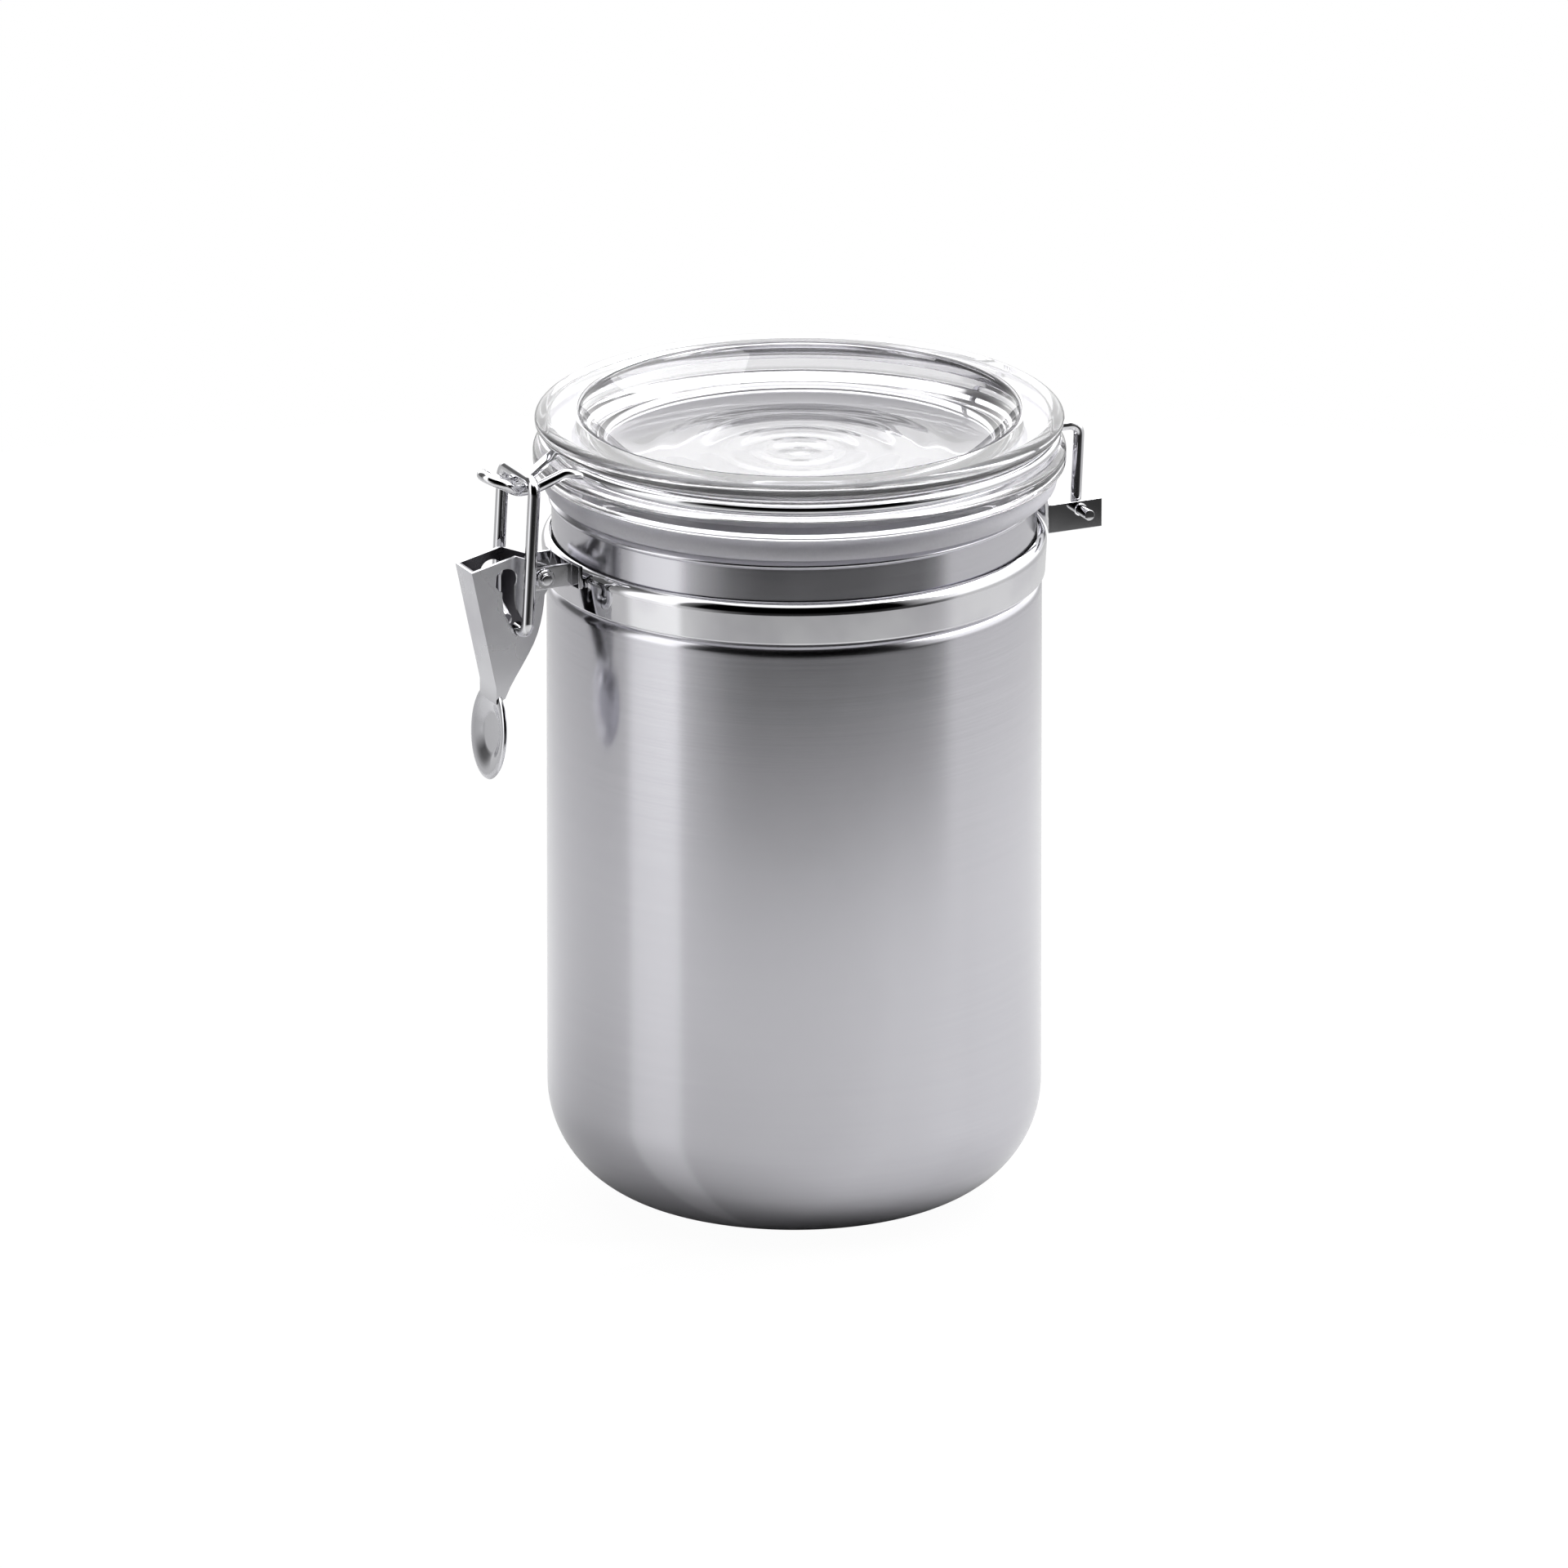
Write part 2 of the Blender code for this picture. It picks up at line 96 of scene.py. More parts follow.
# %% Room light by direction
def node(tree, kind, x, y, **settings):
    """Adds a shader node at a place on the node editor's sheet."""
    made = tree.nodes.new(kind)
    made.location = (x, y)
    for key, value in settings.items():
        setattr(made, key, value)
    return made


def ramp_by_angle(tree, vector, stops, x, y):
    """A grey ramp round the upright axis; stops are (degrees right of the camera, grey)."""
    around = node(tree, "ShaderNodeTexGradient", x - 200, y, gradient_type="RADIAL")
    ramp = node(tree, "ShaderNodeValToRGB", x, y)
    elements = ramp.color_ramp.elements
    elements.remove(elements[-1])
    for index, (angle, grey) in enumerate(stops):
        position = (angle + 180.0) / 360.0
        stop = elements.new(position) if index else elements[0]
        stop.position = position
        stop.color = (grey, grey, grey, 1.0)
    tree.links.new(vector, around.inputs["Vector"])
    tree.links.new(around.outputs["Fac"], ramp.inputs["Fac"])
    return ramp.outputs["Color"]


def height_blend(tree, height, low, high, x, y):
    """0 below one height and 1 above another; heights are sines of the angle above the horizon."""
    blend = node(tree, "ShaderNodeMapRange", x, y, interpolation_type="SMOOTHSTEP")
    blend.inputs["From Min"].default_value = math.sin(math.radians(low))
    blend.inputs["From Max"].default_value = math.sin(math.radians(high))
    tree.links.new(height, blend.inputs["Value"])
    return blend.outputs["Result"]


BELOW_EYE_LEVEL = [(-180, 0.62), (-140, 0.56), (-112, 0.50), (-100, 0.46), (-86, 0.50), (-81, 0.95),
                   (-57, 1.15), (-53, 0.60), (-44, 0.36), (-30, 0.10), (-18, 0.02), (38, 0.02),
                   (62, 0.06), (72, 0.20), (80, 0.62), (110, 0.64), (180, 0.62)]
ABOVE_EYE_LEVEL = [(-180, 2.40), (-150, 1.90), (-136, 0.15), (-100, 0.10), (-86, 0.30),
                   (-80, 1.60), (-56, 1.60),
                   (-52, 0.20), (-44, 0.0), (50, 0.0), (60, 0.40), (80, 1.30), (130, 1.40),
                   (150, 2.00), (180, 2.40)]
CEILING = 1.5

world = bpy.data.worlds.new("studio_room")
bpy.context.scene.world = world
world.use_nodes = True
room = world.node_tree
room.nodes.clear()
direction = node(room, "ShaderNodeTexCoord", -1400, 0)
turn = node(room, "ShaderNodeMapping", -1200, 0)
turn.inputs["Rotation"].default_value[2] = math.radians(90.0) - VIEW_AZIMUTH
split = node(room, "ShaderNodeSeparateXYZ", -1200, -360)
room.links.new(direction.outputs["Generated"], turn.inputs["Vector"])
room.links.new(direction.outputs["Generated"], split.inputs["Vector"])
below = ramp_by_angle(room, turn.outputs["Vector"], BELOW_EYE_LEVEL, -700, 200)
above = ramp_by_angle(room, turn.outputs["Vector"], ABOVE_EYE_LEVEL, -700, -60)
walls = node(room, "ShaderNodeMix", -350, 100, data_type="RGBA")
room.links.new(height_blend(room, split.outputs["Z"], -8.0, 6.0, -900, -360), walls.inputs["Factor"])
room.links.new(below, walls.inputs["A"])
room.links.new(above, walls.inputs["B"])
whole = node(room, "ShaderNodeMix", -150, 100, data_type="RGBA")
room.links.new(height_blend(room, split.outputs["Z"], 50.0, 64.0, -650, -360), whole.inputs["Factor"])
room.links.new(walls.outputs["Result"], whole.inputs["A"])
whole.inputs["B"].default_value = (CEILING, CEILING, CEILING, 1.0)
ray = node(room, "ShaderNodeLightPath", -150, 400)
pick = node(room, "ShaderNodeMix", 60, 120, data_type="RGBA")
pick.inputs["B"].default_value = (1.0, 1.0, 1.0, 1.0)
background = node(room, "ShaderNodeBackground", 260, 120)
output = node(room, "ShaderNodeOutputWorld", 460, 120)
room.links.new(whole.outputs["Result"], pick.inputs["A"])
room.links.new(ray.outputs["Is Camera Ray"], pick.inputs["Factor"])
room.links.new(pick.outputs["Result"], background.inputs["Color"])
room.links.new(background.outputs["Background"], output.inputs["Surface"])
bpy.context.scene.view_settings.view_transform = "Standard"
print("room:", len(BELOW_EYE_LEVEL), "and", len(ABOVE_EYE_LEVEL), "stops")

# %% [markdown]
# One large soft box hangs high at the right. It models the round of the body, because the floor at
# the left then lies in a soft shadow, and the body's left side shows that floor.

# %% Soft box
def soft_box(name, azimuth, height, distance, size, power):
    """An area light that looks at the canister's middle; azimuth is measured from the camera."""
    angle = VIEW_AZIMUTH + math.radians(azimuth)
    rise = math.radians(height)
    away = Vector((math.sin(angle) * math.cos(rise), -math.cos(angle) * math.cos(rise), math.sin(rise)))
    bpy.ops.object.light_add(type="AREA", location=Vector((0.0, 0.0, 90.0 * MM)) + distance * away)
    light = bpy.context.object
    light.name = name
    light.data.shape = "RECTANGLE"
    light.data.size, light.data.size_y = size
    light.data.energy = power
    light.visible_camera = False
    light.rotation_euler = away.to_track_quat("Z", "Y").to_euler()
    print(name, "at", [round(value, 2) for value in light.location])


soft_box("right_box", 100.0, 50.0, 1.3, (1.2, 1.2), 17.0)

# %% [markdown]
# The floor is a pale disc whose edge fades away into the plain white behind it. The camera sees it
# as lit paper, nearly white all over. Its reflection in the steel is greyer, and its colour has a
# painted pale wedge, painted light for the white panel, so that the stripe runs on down to the foot
# of the body.

# %% Floor
FLOOR_RADIUS = 0.57
PAINTED_WEDGE_FOOT = (30.2 * MM, -24.6 * MM)
FADE_START = 0.25
WHITE_SHARE = 0.93
PAPER_LIGHT = 1.04
# The floor's grey by angle round the wedge's foot; the pale stops from -81 to -56 degrees are painted light
# for the white panel.
FLOOR_GREYS_AND_PAINTED_WEDGE = [(-180, 0.48), (-84, 0.48), (-81, 0.62), (-56, 0.64), (-53, 0.50), (50, 0.50),
               (90, 0.40), (150, 0.46), (180, 0.48)]

bpy.ops.mesh.primitive_circle_add(vertices=96, radius=FLOOR_RADIUS, fill_type="NGON",
                                  location=(0.0, 0.0, -0.2 * MM))
floor = bpy.context.object
floor.name = "floor"
floor_finish = bpy.data.materials.new("pale_floor")
floor_finish.use_nodes = True
sheet = floor_finish.node_tree
paint = sheet.nodes["Principled BSDF"]
paint.inputs["Roughness"].default_value = 0.6
place = node(sheet, "ShaderNodeTexCoord", -1300, 0)
foot = node(sheet, "ShaderNodeMapping", -1100, 200, vector_type="TEXTURE")
foot.inputs["Location"].default_value = (*PAINTED_WEDGE_FOOT, 0.0)
foot.inputs["Rotation"].default_value[2] = VIEW_AZIMUTH - math.radians(90.0)
sheet.links.new(place.outputs["Object"], foot.inputs["Vector"])
sheet.links.new(ramp_by_angle(sheet, foot.outputs["Vector"], FLOOR_GREYS_AND_PAINTED_WEDGE, -600, 200),
                paint.inputs["Base Color"])
centre_out = node(sheet, "ShaderNodeVectorMath", -900, -200, operation="LENGTH")
fade = node(sheet, "ShaderNodeMapRange", -600, -200, interpolation_type="SMOOTHSTEP")
fade.inputs["From Min"].default_value = FADE_START
fade.inputs["From Max"].default_value = FLOOR_RADIUS - 0.01
fade.inputs["To Min"].default_value = 1.0
fade.inputs["To Max"].default_value = 0.0
sheet.links.new(place.outputs["Object"], centre_out.inputs[0])
sheet.links.new(centre_out.outputs["Value"], fade.inputs["Value"])
sheet.links.new(fade.outputs["Result"], paint.inputs["Alpha"])
paper = node(sheet, "ShaderNodeEmission", 0, -300)
seen = node(sheet, "ShaderNodeLightPath", -200, 400)
share = node(sheet, "ShaderNodeMath", 0, 400, operation="MULTIPLY")
share.inputs[1].default_value = WHITE_SHARE
lit = node(sheet, "ShaderNodeMixShader", 300, 100)
sheet.links.new(seen.outputs["Is Camera Ray"], share.inputs[0])
sheet.links.new(share.outputs["Value"], lit.inputs["Fac"])
sheet.links.new(paint.outputs["BSDF"], lit.inputs[1])
sheet.links.new(paper.outputs["Emission"], lit.inputs[2])
sheet.links.new(lit.outputs["Shader"], sheet.nodes["Material Output"].inputs["Surface"])
paper.inputs["Strength"].default_value = PAPER_LIGHT
floor.data.materials.append(floor_finish)
print("floor radius", FLOOR_RADIUS)

# %% [markdown]
# ## Places
#
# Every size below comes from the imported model: a node's box gives its radius and its heights, and
# the joints give the axes. A piece keeps only the corners of its box that are needed later.

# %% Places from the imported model
def box_mm(name):
    """A node's lowest and highest corners, in millimetres."""
    low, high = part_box(name)
    return [value / MM for value in low], [value / MM for value in high]


shell_high = box_mm("canister_shell")[1]
band_low, band_high = box_mm("clamp_band")
lid_low, lid_high = box_mm("lid")
gasket_low, gasket_high = box_mm("gasket")
wire_low = box_mm("lid_wire")[0]
hinge_low, hinge_high = box_mm("hinge_bracket")
latch_low, latch_high = box_mm("latch_bracket")
link_high = box_mm("link_bail")[1]
lever_low = box_mm("lever")[0]
axes = {joint["name"]: [value / MM for value in joint["pos_m"]]
        for joint in frame["record"]["behaviour"]["joints"]}
PIVOT = axes["lever_pivot"]
LINK_AXIS = axes["link_pivot"]
HINGE_AXIS = axes["lid_hinge"]
BODY_R = shell_high[0]
MOUTH_Z = shell_high[2]
LID_R = lid_high[0]
LID_Y = (lid_low[1] + lid_high[1]) / 2
LID_TOP = lid_high[2]
print("body radius", round(BODY_R, 1), "mouth", round(MOUTH_Z, 1), "lid top", round(LID_TOP, 1))

# %% [markdown]
# ## Workshop helpers
#
# Three ways of making cover the whole canister. A **turned** piece starts as one point that is
# extruded along its profile and spun round the axis. A **bent wire** is a line of edges that is
# given a round section. A **plate** is an outline that is filled and extruded. All three start from
# the same hand move: a plane merged to one point, extruded step by step.

# %% Draw a line of edges
def draw(name, points):
    """Draws edges through points given in millimetres, and leaves the object in edit mode."""
    points = [Vector(point) * MM for point in points]
    if bpy.context.mode != "OBJECT":
        bpy.ops.object.mode_set(mode="OBJECT")
    bpy.ops.object.select_all(action="DESELECT")
    bpy.ops.mesh.primitive_plane_add(size=MM, location=points[0])
    bpy.ops.object.transform_apply(location=True, rotation=False, scale=False)
    piece = bpy.context.object
    piece.name = name
    piece.data.name = name
    bpy.ops.object.mode_set(mode="EDIT")
    bpy.ops.mesh.select_mode(type="VERT")
    bpy.ops.mesh.select_all(action="SELECT")
    bpy.ops.mesh.merge(type="CENTER")
    for before, after in zip(points, points[1:]):
        bpy.ops.mesh.extrude_region_move(TRANSFORM_OT_translate={"value": after - before})
    return piece


def arc(centre_r, centre_z, radius, start, end, steps, squash=1.0):
    """Points on an arc in a profile, angles in degrees; squash flattens it upright."""
    points = []
    for step in range(steps + 1):
        angle = math.radians(start + (end - start) * step / steps)
        points.append((centre_r + radius * math.cos(angle), centre_z + squash * radius * math.sin(angle)))
    return points


# %% Turn a profile
TURN_STEPS = 192


def turned(name, profile, centre_y=0.0, steps=TURN_STEPS, closed=True):
    """Spins a profile of (radius, height) millimetres round an upright axis."""
    points = [(radius, centre_y, height) for radius, height in profile]
    if closed:
        points.append(points[0])
    piece = draw(name, points)
    bpy.ops.mesh.select_all(action="SELECT")
    bpy.ops.mesh.remove_doubles(threshold=0.002 * MM)
    bpy.ops.mesh.spin(steps=steps, angle=math.tau, center=(0.0, centre_y * MM, 0.0), axis=(0.0, 0.0, 1.0))
    bpy.ops.mesh.select_all(action="SELECT")
    bpy.ops.mesh.remove_doubles(threshold=0.002 * MM)
    bpy.ops.mesh.normals_make_consistent(inside=False)
    bpy.ops.object.mode_set(mode="OBJECT")
    return piece


# %% Bend a wire
def rounded(corners, steps=8):
    """A path in millimetres through (point, bend radius) corners, with an arc at each bend."""
    path = [Vector(corners[0][0])]
    for before, corner, after in zip(corners, corners[1:], corners[2:]):
        point, bend = Vector(corner[0]), corner[1]
        back = (Vector(before[0]) - point).normalized()
        ahead = (Vector(after[0]) - point).normalized()
        half = back.angle(ahead) / 2
        if bend == 0.0:
            path.append(point)
            continue
        centre = point + (back + ahead).normalized() * (bend / math.sin(half))
        first = point + back * (bend / math.tan(half)) - centre
        last = point + ahead * (bend / math.tan(half)) - centre
        path += [centre + bend * first.slerp(last, step / steps) for step in range(steps + 1)]
    path.append(Vector(corners[-1][0]))
    return path


def bent_wire(name, path, radius, end_round):
    """Gives a line of edges a round section and rounds its two cut ends."""
    piece = draw(name, path)
    bpy.ops.object.mode_set(mode="OBJECT")
    bpy.ops.object.convert(target="CURVE")
    piece = bpy.context.object
    piece.data.bevel_depth = radius * MM
    piece.data.bevel_resolution = 7
    piece.data.use_fill_caps = True
    bpy.ops.object.convert(target="MESH")
    piece = bpy.context.object
    bpy.ops.object.mode_set(mode="EDIT")
    bpy.ops.mesh.select_all(action="SELECT")
    bpy.ops.mesh.remove_doubles(threshold=0.002 * MM)
    bpy.ops.mesh.normals_make_consistent(inside=False)
    bpy.ops.object.mode_set(mode="OBJECT")
    round_edges(piece, end_round, 3, 60.0)
    return piece


# %% Round edges, drill, extrude
def round_edges(piece, width, segments, angle):
    """Bevels the edges that turn by more than an angle, and applies it."""
    bevel = piece.modifiers.new("round_edges", "BEVEL")
    bevel.width = width * MM
    bevel.segments = segments
    bevel.limit_method = "ANGLE"
    bevel.angle_limit = math.radians(angle)
    bpy.context.view_layer.objects.active = piece
    bpy.ops.object.modifier_apply(modifier=bevel.name)


def cut(piece, tool, operation="DIFFERENCE"):
    """Cuts a piece with a tool, or joins the tool to it, and removes the tool."""
    boolean = piece.modifiers.new("cut", "BOOLEAN")
    boolean.operation = operation
    boolean.solver = "EXACT"
    boolean.object = tool
    bpy.context.view_layer.objects.active = piece
    bpy.ops.object.modifier_apply(modifier=boolean.name)
    bpy.data.objects.remove(tool, do_unlink=True)


def drill(piece, y, z, radius, half_length):
    """A round hole along X, through both walls."""
    bpy.ops.object.select_all(action="DESELECT")
    bpy.ops.mesh.primitive_cylinder_add(vertices=64, radius=radius * MM, depth=2 * half_length * MM,
                                        location=(0.0, y * MM, z * MM), rotation=(0.0, math.pi / 2, 0.0))
    cut(piece, bpy.context.object)


def plate(name, outline, move):
    """Fills a closed outline and extrudes it; both in millimetres."""
    piece = draw(name, outline)
    bpy.ops.mesh.select_all(action="SELECT")
    bpy.ops.mesh.edge_face_add()
    bpy.ops.mesh.extrude_region_move(TRANSFORM_OT_translate={"value": Vector(move) * MM})
    bpy.ops.mesh.select_all(action="SELECT")
    bpy.ops.mesh.normals_make_consistent(inside=False)
    bpy.ops.object.mode_set(mode="OBJECT")
    return piece


# %% [markdown]
# A rounded edge beside a large flat face would bend the flat's shading too. Weighted normals give
# the large face the last word, so that flats stay flat and only the rounds look round.

# %% Finish a piece
def finish(piece, body, material, nodes, smooth=40.0):
    """Smooths a piece, gives it its finish, and hangs it on its body in place of its CAD node."""
    bpy.ops.object.select_all(action="DESELECT")
    piece.select_set(True)
    bpy.context.view_layer.objects.active = piece
    bpy.ops.object.shade_smooth_by_angle(angle=math.radians(smooth))
    flats = piece.modifiers.new("true_flats", "WEIGHTED_NORMAL")
    flats.keep_sharp = True
    bpy.ops.object.modifier_apply(modifier=flats.name)
    piece.data.materials.clear()
    piece.data.materials.append(material)
    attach(piece, body)
    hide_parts(*nodes)
    print(piece.name, len(piece.data.polygons), "faces, on", body)


# %% [markdown]
# ## Finishes
#
# All the steel shares one effect: years of wiping leave fine lines and faint smudges. It is a node
# group, so each steel only says how strong the marks are. The group gives out a height for the
# bump and a mask for the roughness.

# %% Handling marks group
def make_marks_group():
    group = bpy.data.node_groups.new("handling_marks", "ShaderNodeTree")
    group.interface.new_socket("Line Scale", in_out="INPUT", socket_type="NodeSocketFloat")
    group.interface.new_socket("Smudge Scale", in_out="INPUT", socket_type="NodeSocketFloat")
    group.interface.new_socket("Lines", in_out="OUTPUT", socket_type="NodeSocketFloat")
    group.interface.new_socket("Smudges", in_out="OUTPUT", socket_type="NodeSocketFloat")
    start = node(group, "NodeGroupInput", -900, 0)
    place = node(group, "ShaderNodeTexCoord", -900, -200)
    tilt = node(group, "ShaderNodeMapping", -680, 120)
    tilt.inputs["Rotation"].default_value = (0.5, 0.9, 0.3)
    tilt.inputs["Scale"].default_value = (1.0, 14.0, 1.0)
    lines = node(group, "ShaderNodeTexNoise", -460, 120)
    lines.inputs["Detail"].default_value = 2.0
    sharpen = node(group, "ShaderNodeMapRange", -240, 120)
    sharpen.inputs["From Min"].default_value = 0.60
    sharpen.inputs["From Max"].default_value = 0.74
    smudges = node(group, "ShaderNodeTexNoise", -460, -200)
    smudges.inputs["Detail"].default_value = 3.0
    soften = node(group, "ShaderNodeMapRange", -240, -200, interpolation_type="SMOOTHSTEP")
    soften.inputs["From Min"].default_value = 0.42
    soften.inputs["From Max"].default_value = 0.66
    end = node(group, "NodeGroupOutput", 0, 0)
    group.links.new(place.outputs["Object"], tilt.inputs["Vector"])
    group.links.new(tilt.outputs["Vector"], lines.inputs["Vector"])
    group.links.new(start.outputs["Line Scale"], lines.inputs["Scale"])
    group.links.new(lines.outputs["Fac"], sharpen.inputs["Value"])
    group.links.new(place.outputs["Object"], smudges.inputs["Vector"])
    group.links.new(start.outputs["Smudge Scale"], smudges.inputs["Scale"])
    group.links.new(smudges.outputs["Fac"], soften.inputs["Value"])
    group.links.new(sharpen.outputs["Result"], end.inputs["Lines"])
    group.links.new(soften.outputs["Result"], end.inputs["Smudges"])
    return group


marks_group = make_marks_group()
print("group", marks_group.name)


# %% Small node helpers
def new_finish(name, colour, roughness, metallic):
    """A material with its constants on the shader's own sockets."""
    material = bpy.data.materials.new(name)
    material.use_nodes = True
    shader = material.node_tree.nodes["Principled BSDF"]
    shader.inputs["Base Color"].default_value = (*colour, 1.0)
    shader.inputs["Roughness"].default_value = roughness
    shader.inputs["Metallic"].default_value = metallic
    return material, material.node_tree, shader


def add_marks(tree, line_scale, smudge_scale):
    marks = node(tree, "ShaderNodeGroup", -900, -300, node_tree=marks_group)
    marks.inputs["Line Scale"].default_value = line_scale
    marks.inputs["Smudge Scale"].default_value = smudge_scale
    return marks


def to_range(tree, value, low, high, x, y):
    """Maps a 0-1 value to a range."""
    remap = node(tree, "ShaderNodeMapRange", x, y)
    remap.inputs["To Min"].default_value = low
    remap.inputs["To Max"].default_value = high
    tree.links.new(value, remap.inputs["Value"])
    return remap.outputs["Result"]


def add_bump(tree, shader, height, strength, distance, before=None):
    bump = node(tree, "ShaderNodeBump", -200, -500)
    bump.inputs["Strength"].default_value = strength
    bump.inputs["Distance"].default_value = distance * MM
    tree.links.new(height, bump.inputs["Height"])
    if before:
        tree.links.new(before.outputs["Normal"], bump.inputs["Normal"])
    tree.links.new(bump.outputs["Normal"], shader.inputs["Normal"])
    return bump


# %% [markdown]
# ### Brushed steel
#
# The body is spun against an abrasive belt, so its scratches run round it: they are long sideways
# and very fine upwards. A noise that is stretched sideways gives them without a seam. The scratches
# spread a reflection upwards and keep it sharp sideways. The shader's anisotropy does that: its own
# tangent runs round the upright axis, and a quarter turn stands the spread upright.
#
# The inside is never brushed: it keeps the matt skin of the press, and its pale colour is painted light
# that brightens the inside seen through the lid. A mask tells the two apart by radius, with a smaller
# radius above the shoulder, where the neck steps in. It starts above the bottom corner, because the
# corner's outside lies at small radii too.

# %% Inside mask
INSIDE_ROUGHNESS = 0.6
BODY_INSIDE = 54.7 * MM
NECK_INSIDE = 53.6 * MM
NECK_FOOT = 141.5 * MM
MASK_FOOT = 26.0 * MM


def inside_mask(tree, place):
    """1 on the canister's inside and 0 on its outside."""
    parts = node(tree, "ShaderNodeSeparateXYZ", -1100, -500)
    flat = node(tree, "ShaderNodeCombineXYZ", -900, -500)
    radius = node(tree, "ShaderNodeVectorMath", -700, -500, operation="LENGTH")
    limit = node(tree, "ShaderNodeMapRange", -900, -700)
    limit.inputs["From Min"].default_value = NECK_FOOT - 0.1 * MM
    limit.inputs["From Max"].default_value = NECK_FOOT + 0.1 * MM
    limit.inputs["To Min"].default_value = BODY_INSIDE
    limit.inputs["To Max"].default_value = NECK_INSIDE
    within = node(tree, "ShaderNodeMath", -500, -500, operation="LESS_THAN")
    above = node(tree, "ShaderNodeMath", -500, -700, operation="GREATER_THAN")
    above.inputs[1].default_value = MASK_FOOT
    mask = node(tree, "ShaderNodeMath", -300, -600, operation="MULTIPLY")
    tree.links.new(place.outputs["Object"], parts.inputs["Vector"])
    tree.links.new(parts.outputs["X"], flat.inputs["X"])
    tree.links.new(parts.outputs["Y"], flat.inputs["Y"])
    tree.links.new(flat.outputs["Vector"], radius.inputs[0])
    tree.links.new(parts.outputs["Z"], limit.inputs["Value"])
    tree.links.new(parts.outputs["Z"], above.inputs[0])
    tree.links.new(radius.outputs["Value"], within.inputs[0])
    tree.links.new(limit.outputs["Result"], within.inputs[1])
    tree.links.new(within.outputs["Value"], mask.inputs[0])
    tree.links.new(above.outputs["Value"], mask.inputs[1])
    return mask.outputs["Value"]


# %% Brushed steel
def make_brushed_steel():
    material, tree, shader = new_finish("brushed_steel", (0.66, 0.655, 0.69), 0.16, 1.0)
    shader.inputs["Anisotropic"].default_value = 0.6
    shader.inputs["Anisotropic Rotation"].default_value = 0.25
    place = node(tree, "ShaderNodeTexCoord", -1300, 200)
    scratches = []
    for scale, y in (((35.0, 35.0, 5200.0), 300), ((12.0, 12.0, 900.0), 60)):
        stretch = node(tree, "ShaderNodeMapping", -1100, y)
        stretch.inputs["Scale"].default_value = scale
        noise = node(tree, "ShaderNodeTexNoise", -900, y)
        noise.inputs["Scale"].default_value = 1.0
        noise.inputs["Detail"].default_value = 3.0
        tree.links.new(place.outputs["Object"], stretch.inputs["Vector"])
        tree.links.new(stretch.outputs["Vector"], noise.inputs["Vector"])
        scratches.append(noise.outputs["Fac"])
    blend = node(tree, "ShaderNodeMix", -680, 200, data_type="FLOAT")
    blend.inputs["Factor"].default_value = 0.4
    tree.links.new(scratches[0], blend.inputs["A"])
    tree.links.new(scratches[1], blend.inputs["B"])
    grain = blend.outputs["Result"]
    marks = add_marks(tree, 90.0, 22.0)
    tone = node(tree, "ShaderNodeMix", -400, 300, data_type="RGBA")
    tone.inputs["A"].default_value = (0.61, 0.605, 0.645, 1.0)
    tone.inputs["B"].default_value = (0.70, 0.695, 0.73, 1.0)
    tree.links.new(grain, tone.inputs["Factor"])
    rough = node(tree, "ShaderNodeMath", -400, -100, operation="ADD")
    tree.links.new(to_range(tree, grain, 0.13, 0.19, -600, -60), rough.inputs[0])
    tree.links.new(to_range(tree, marks.outputs["Smudges"], 0.0, 0.03, -600, -260), rough.inputs[1])
    inner = inside_mask(tree, place)
    matt = node(tree, "ShaderNodeMix", -200, -60, data_type="FLOAT")
    matt.inputs["B"].default_value = INSIDE_ROUGHNESS
    tree.links.new(inner, matt.inputs["Factor"])
    tree.links.new(rough.outputs["Value"], matt.inputs["A"])
    tree.links.new(matt.outputs["Result"], shader.inputs["Roughness"])
    # Painted light: the pale colour on the inside brightens the inside that is seen through the lid.
    painted_light_inside = node(tree, "ShaderNodeMix", -200, 300, data_type="RGBA")
    painted_light_inside.inputs["B"].default_value = (0.93, 0.925, 0.945, 1.0)
    tree.links.new(inner, painted_light_inside.inputs["Factor"])
    tree.links.new(tone.outputs["Result"], painted_light_inside.inputs["A"])
    tree.links.new(painted_light_inside.outputs["Result"], shader.inputs["Base Color"])
    scored = add_bump(tree, shader, marks.outputs["Lines"], 0.02, 0.02)
    add_bump(tree, shader, grain, 0.07, 0.02, scored)
    return material


brushed_steel = make_brushed_steel()
print("finish", brushed_steel.name)

# %% [markdown]
# ### Polished steel
#
# Band, brackets, lever and wires are barrel polished: nearly a mirror, with a slow waviness that
# makes the reflections wander, and hair lines where they rub.

# %% Polished steel
def make_polished_steel():
    material, tree, shader = new_finish("polished_steel", (0.78, 0.78, 0.80), 0.07, 1.0)
    place = node(tree, "ShaderNodeTexCoord", -1300, 200)
    ripple = node(tree, "ShaderNodeTexNoise", -900, 200)
    ripple.inputs["Scale"].default_value = 120.0
    ripple.inputs["Detail"].default_value = 1.0
    tree.links.new(place.outputs["Object"], ripple.inputs["Vector"])
    marks = add_marks(tree, 260.0, 60.0)
    tone = node(tree, "ShaderNodeMix", -400, 300, data_type="RGBA")
    tone.inputs["A"].default_value = (0.80, 0.80, 0.82, 1.0)
    tone.inputs["B"].default_value = (0.72, 0.715, 0.745, 1.0)
    tree.links.new(marks.outputs["Smudges"], tone.inputs["Factor"])
    tree.links.new(tone.outputs["Result"], shader.inputs["Base Color"])
    rough = to_range(tree, marks.outputs["Smudges"], 0.04, 0.10, -600, -60)
    tree.links.new(rough, shader.inputs["Roughness"])
    scored = add_bump(tree, shader, marks.outputs["Lines"], 0.05, 0.01)
    add_bump(tree, shader, ripple.outputs["Fac"], 0.15, 0.05, scored)
    return material


polished_steel = make_polished_steel()
print("finish", polished_steel.name)
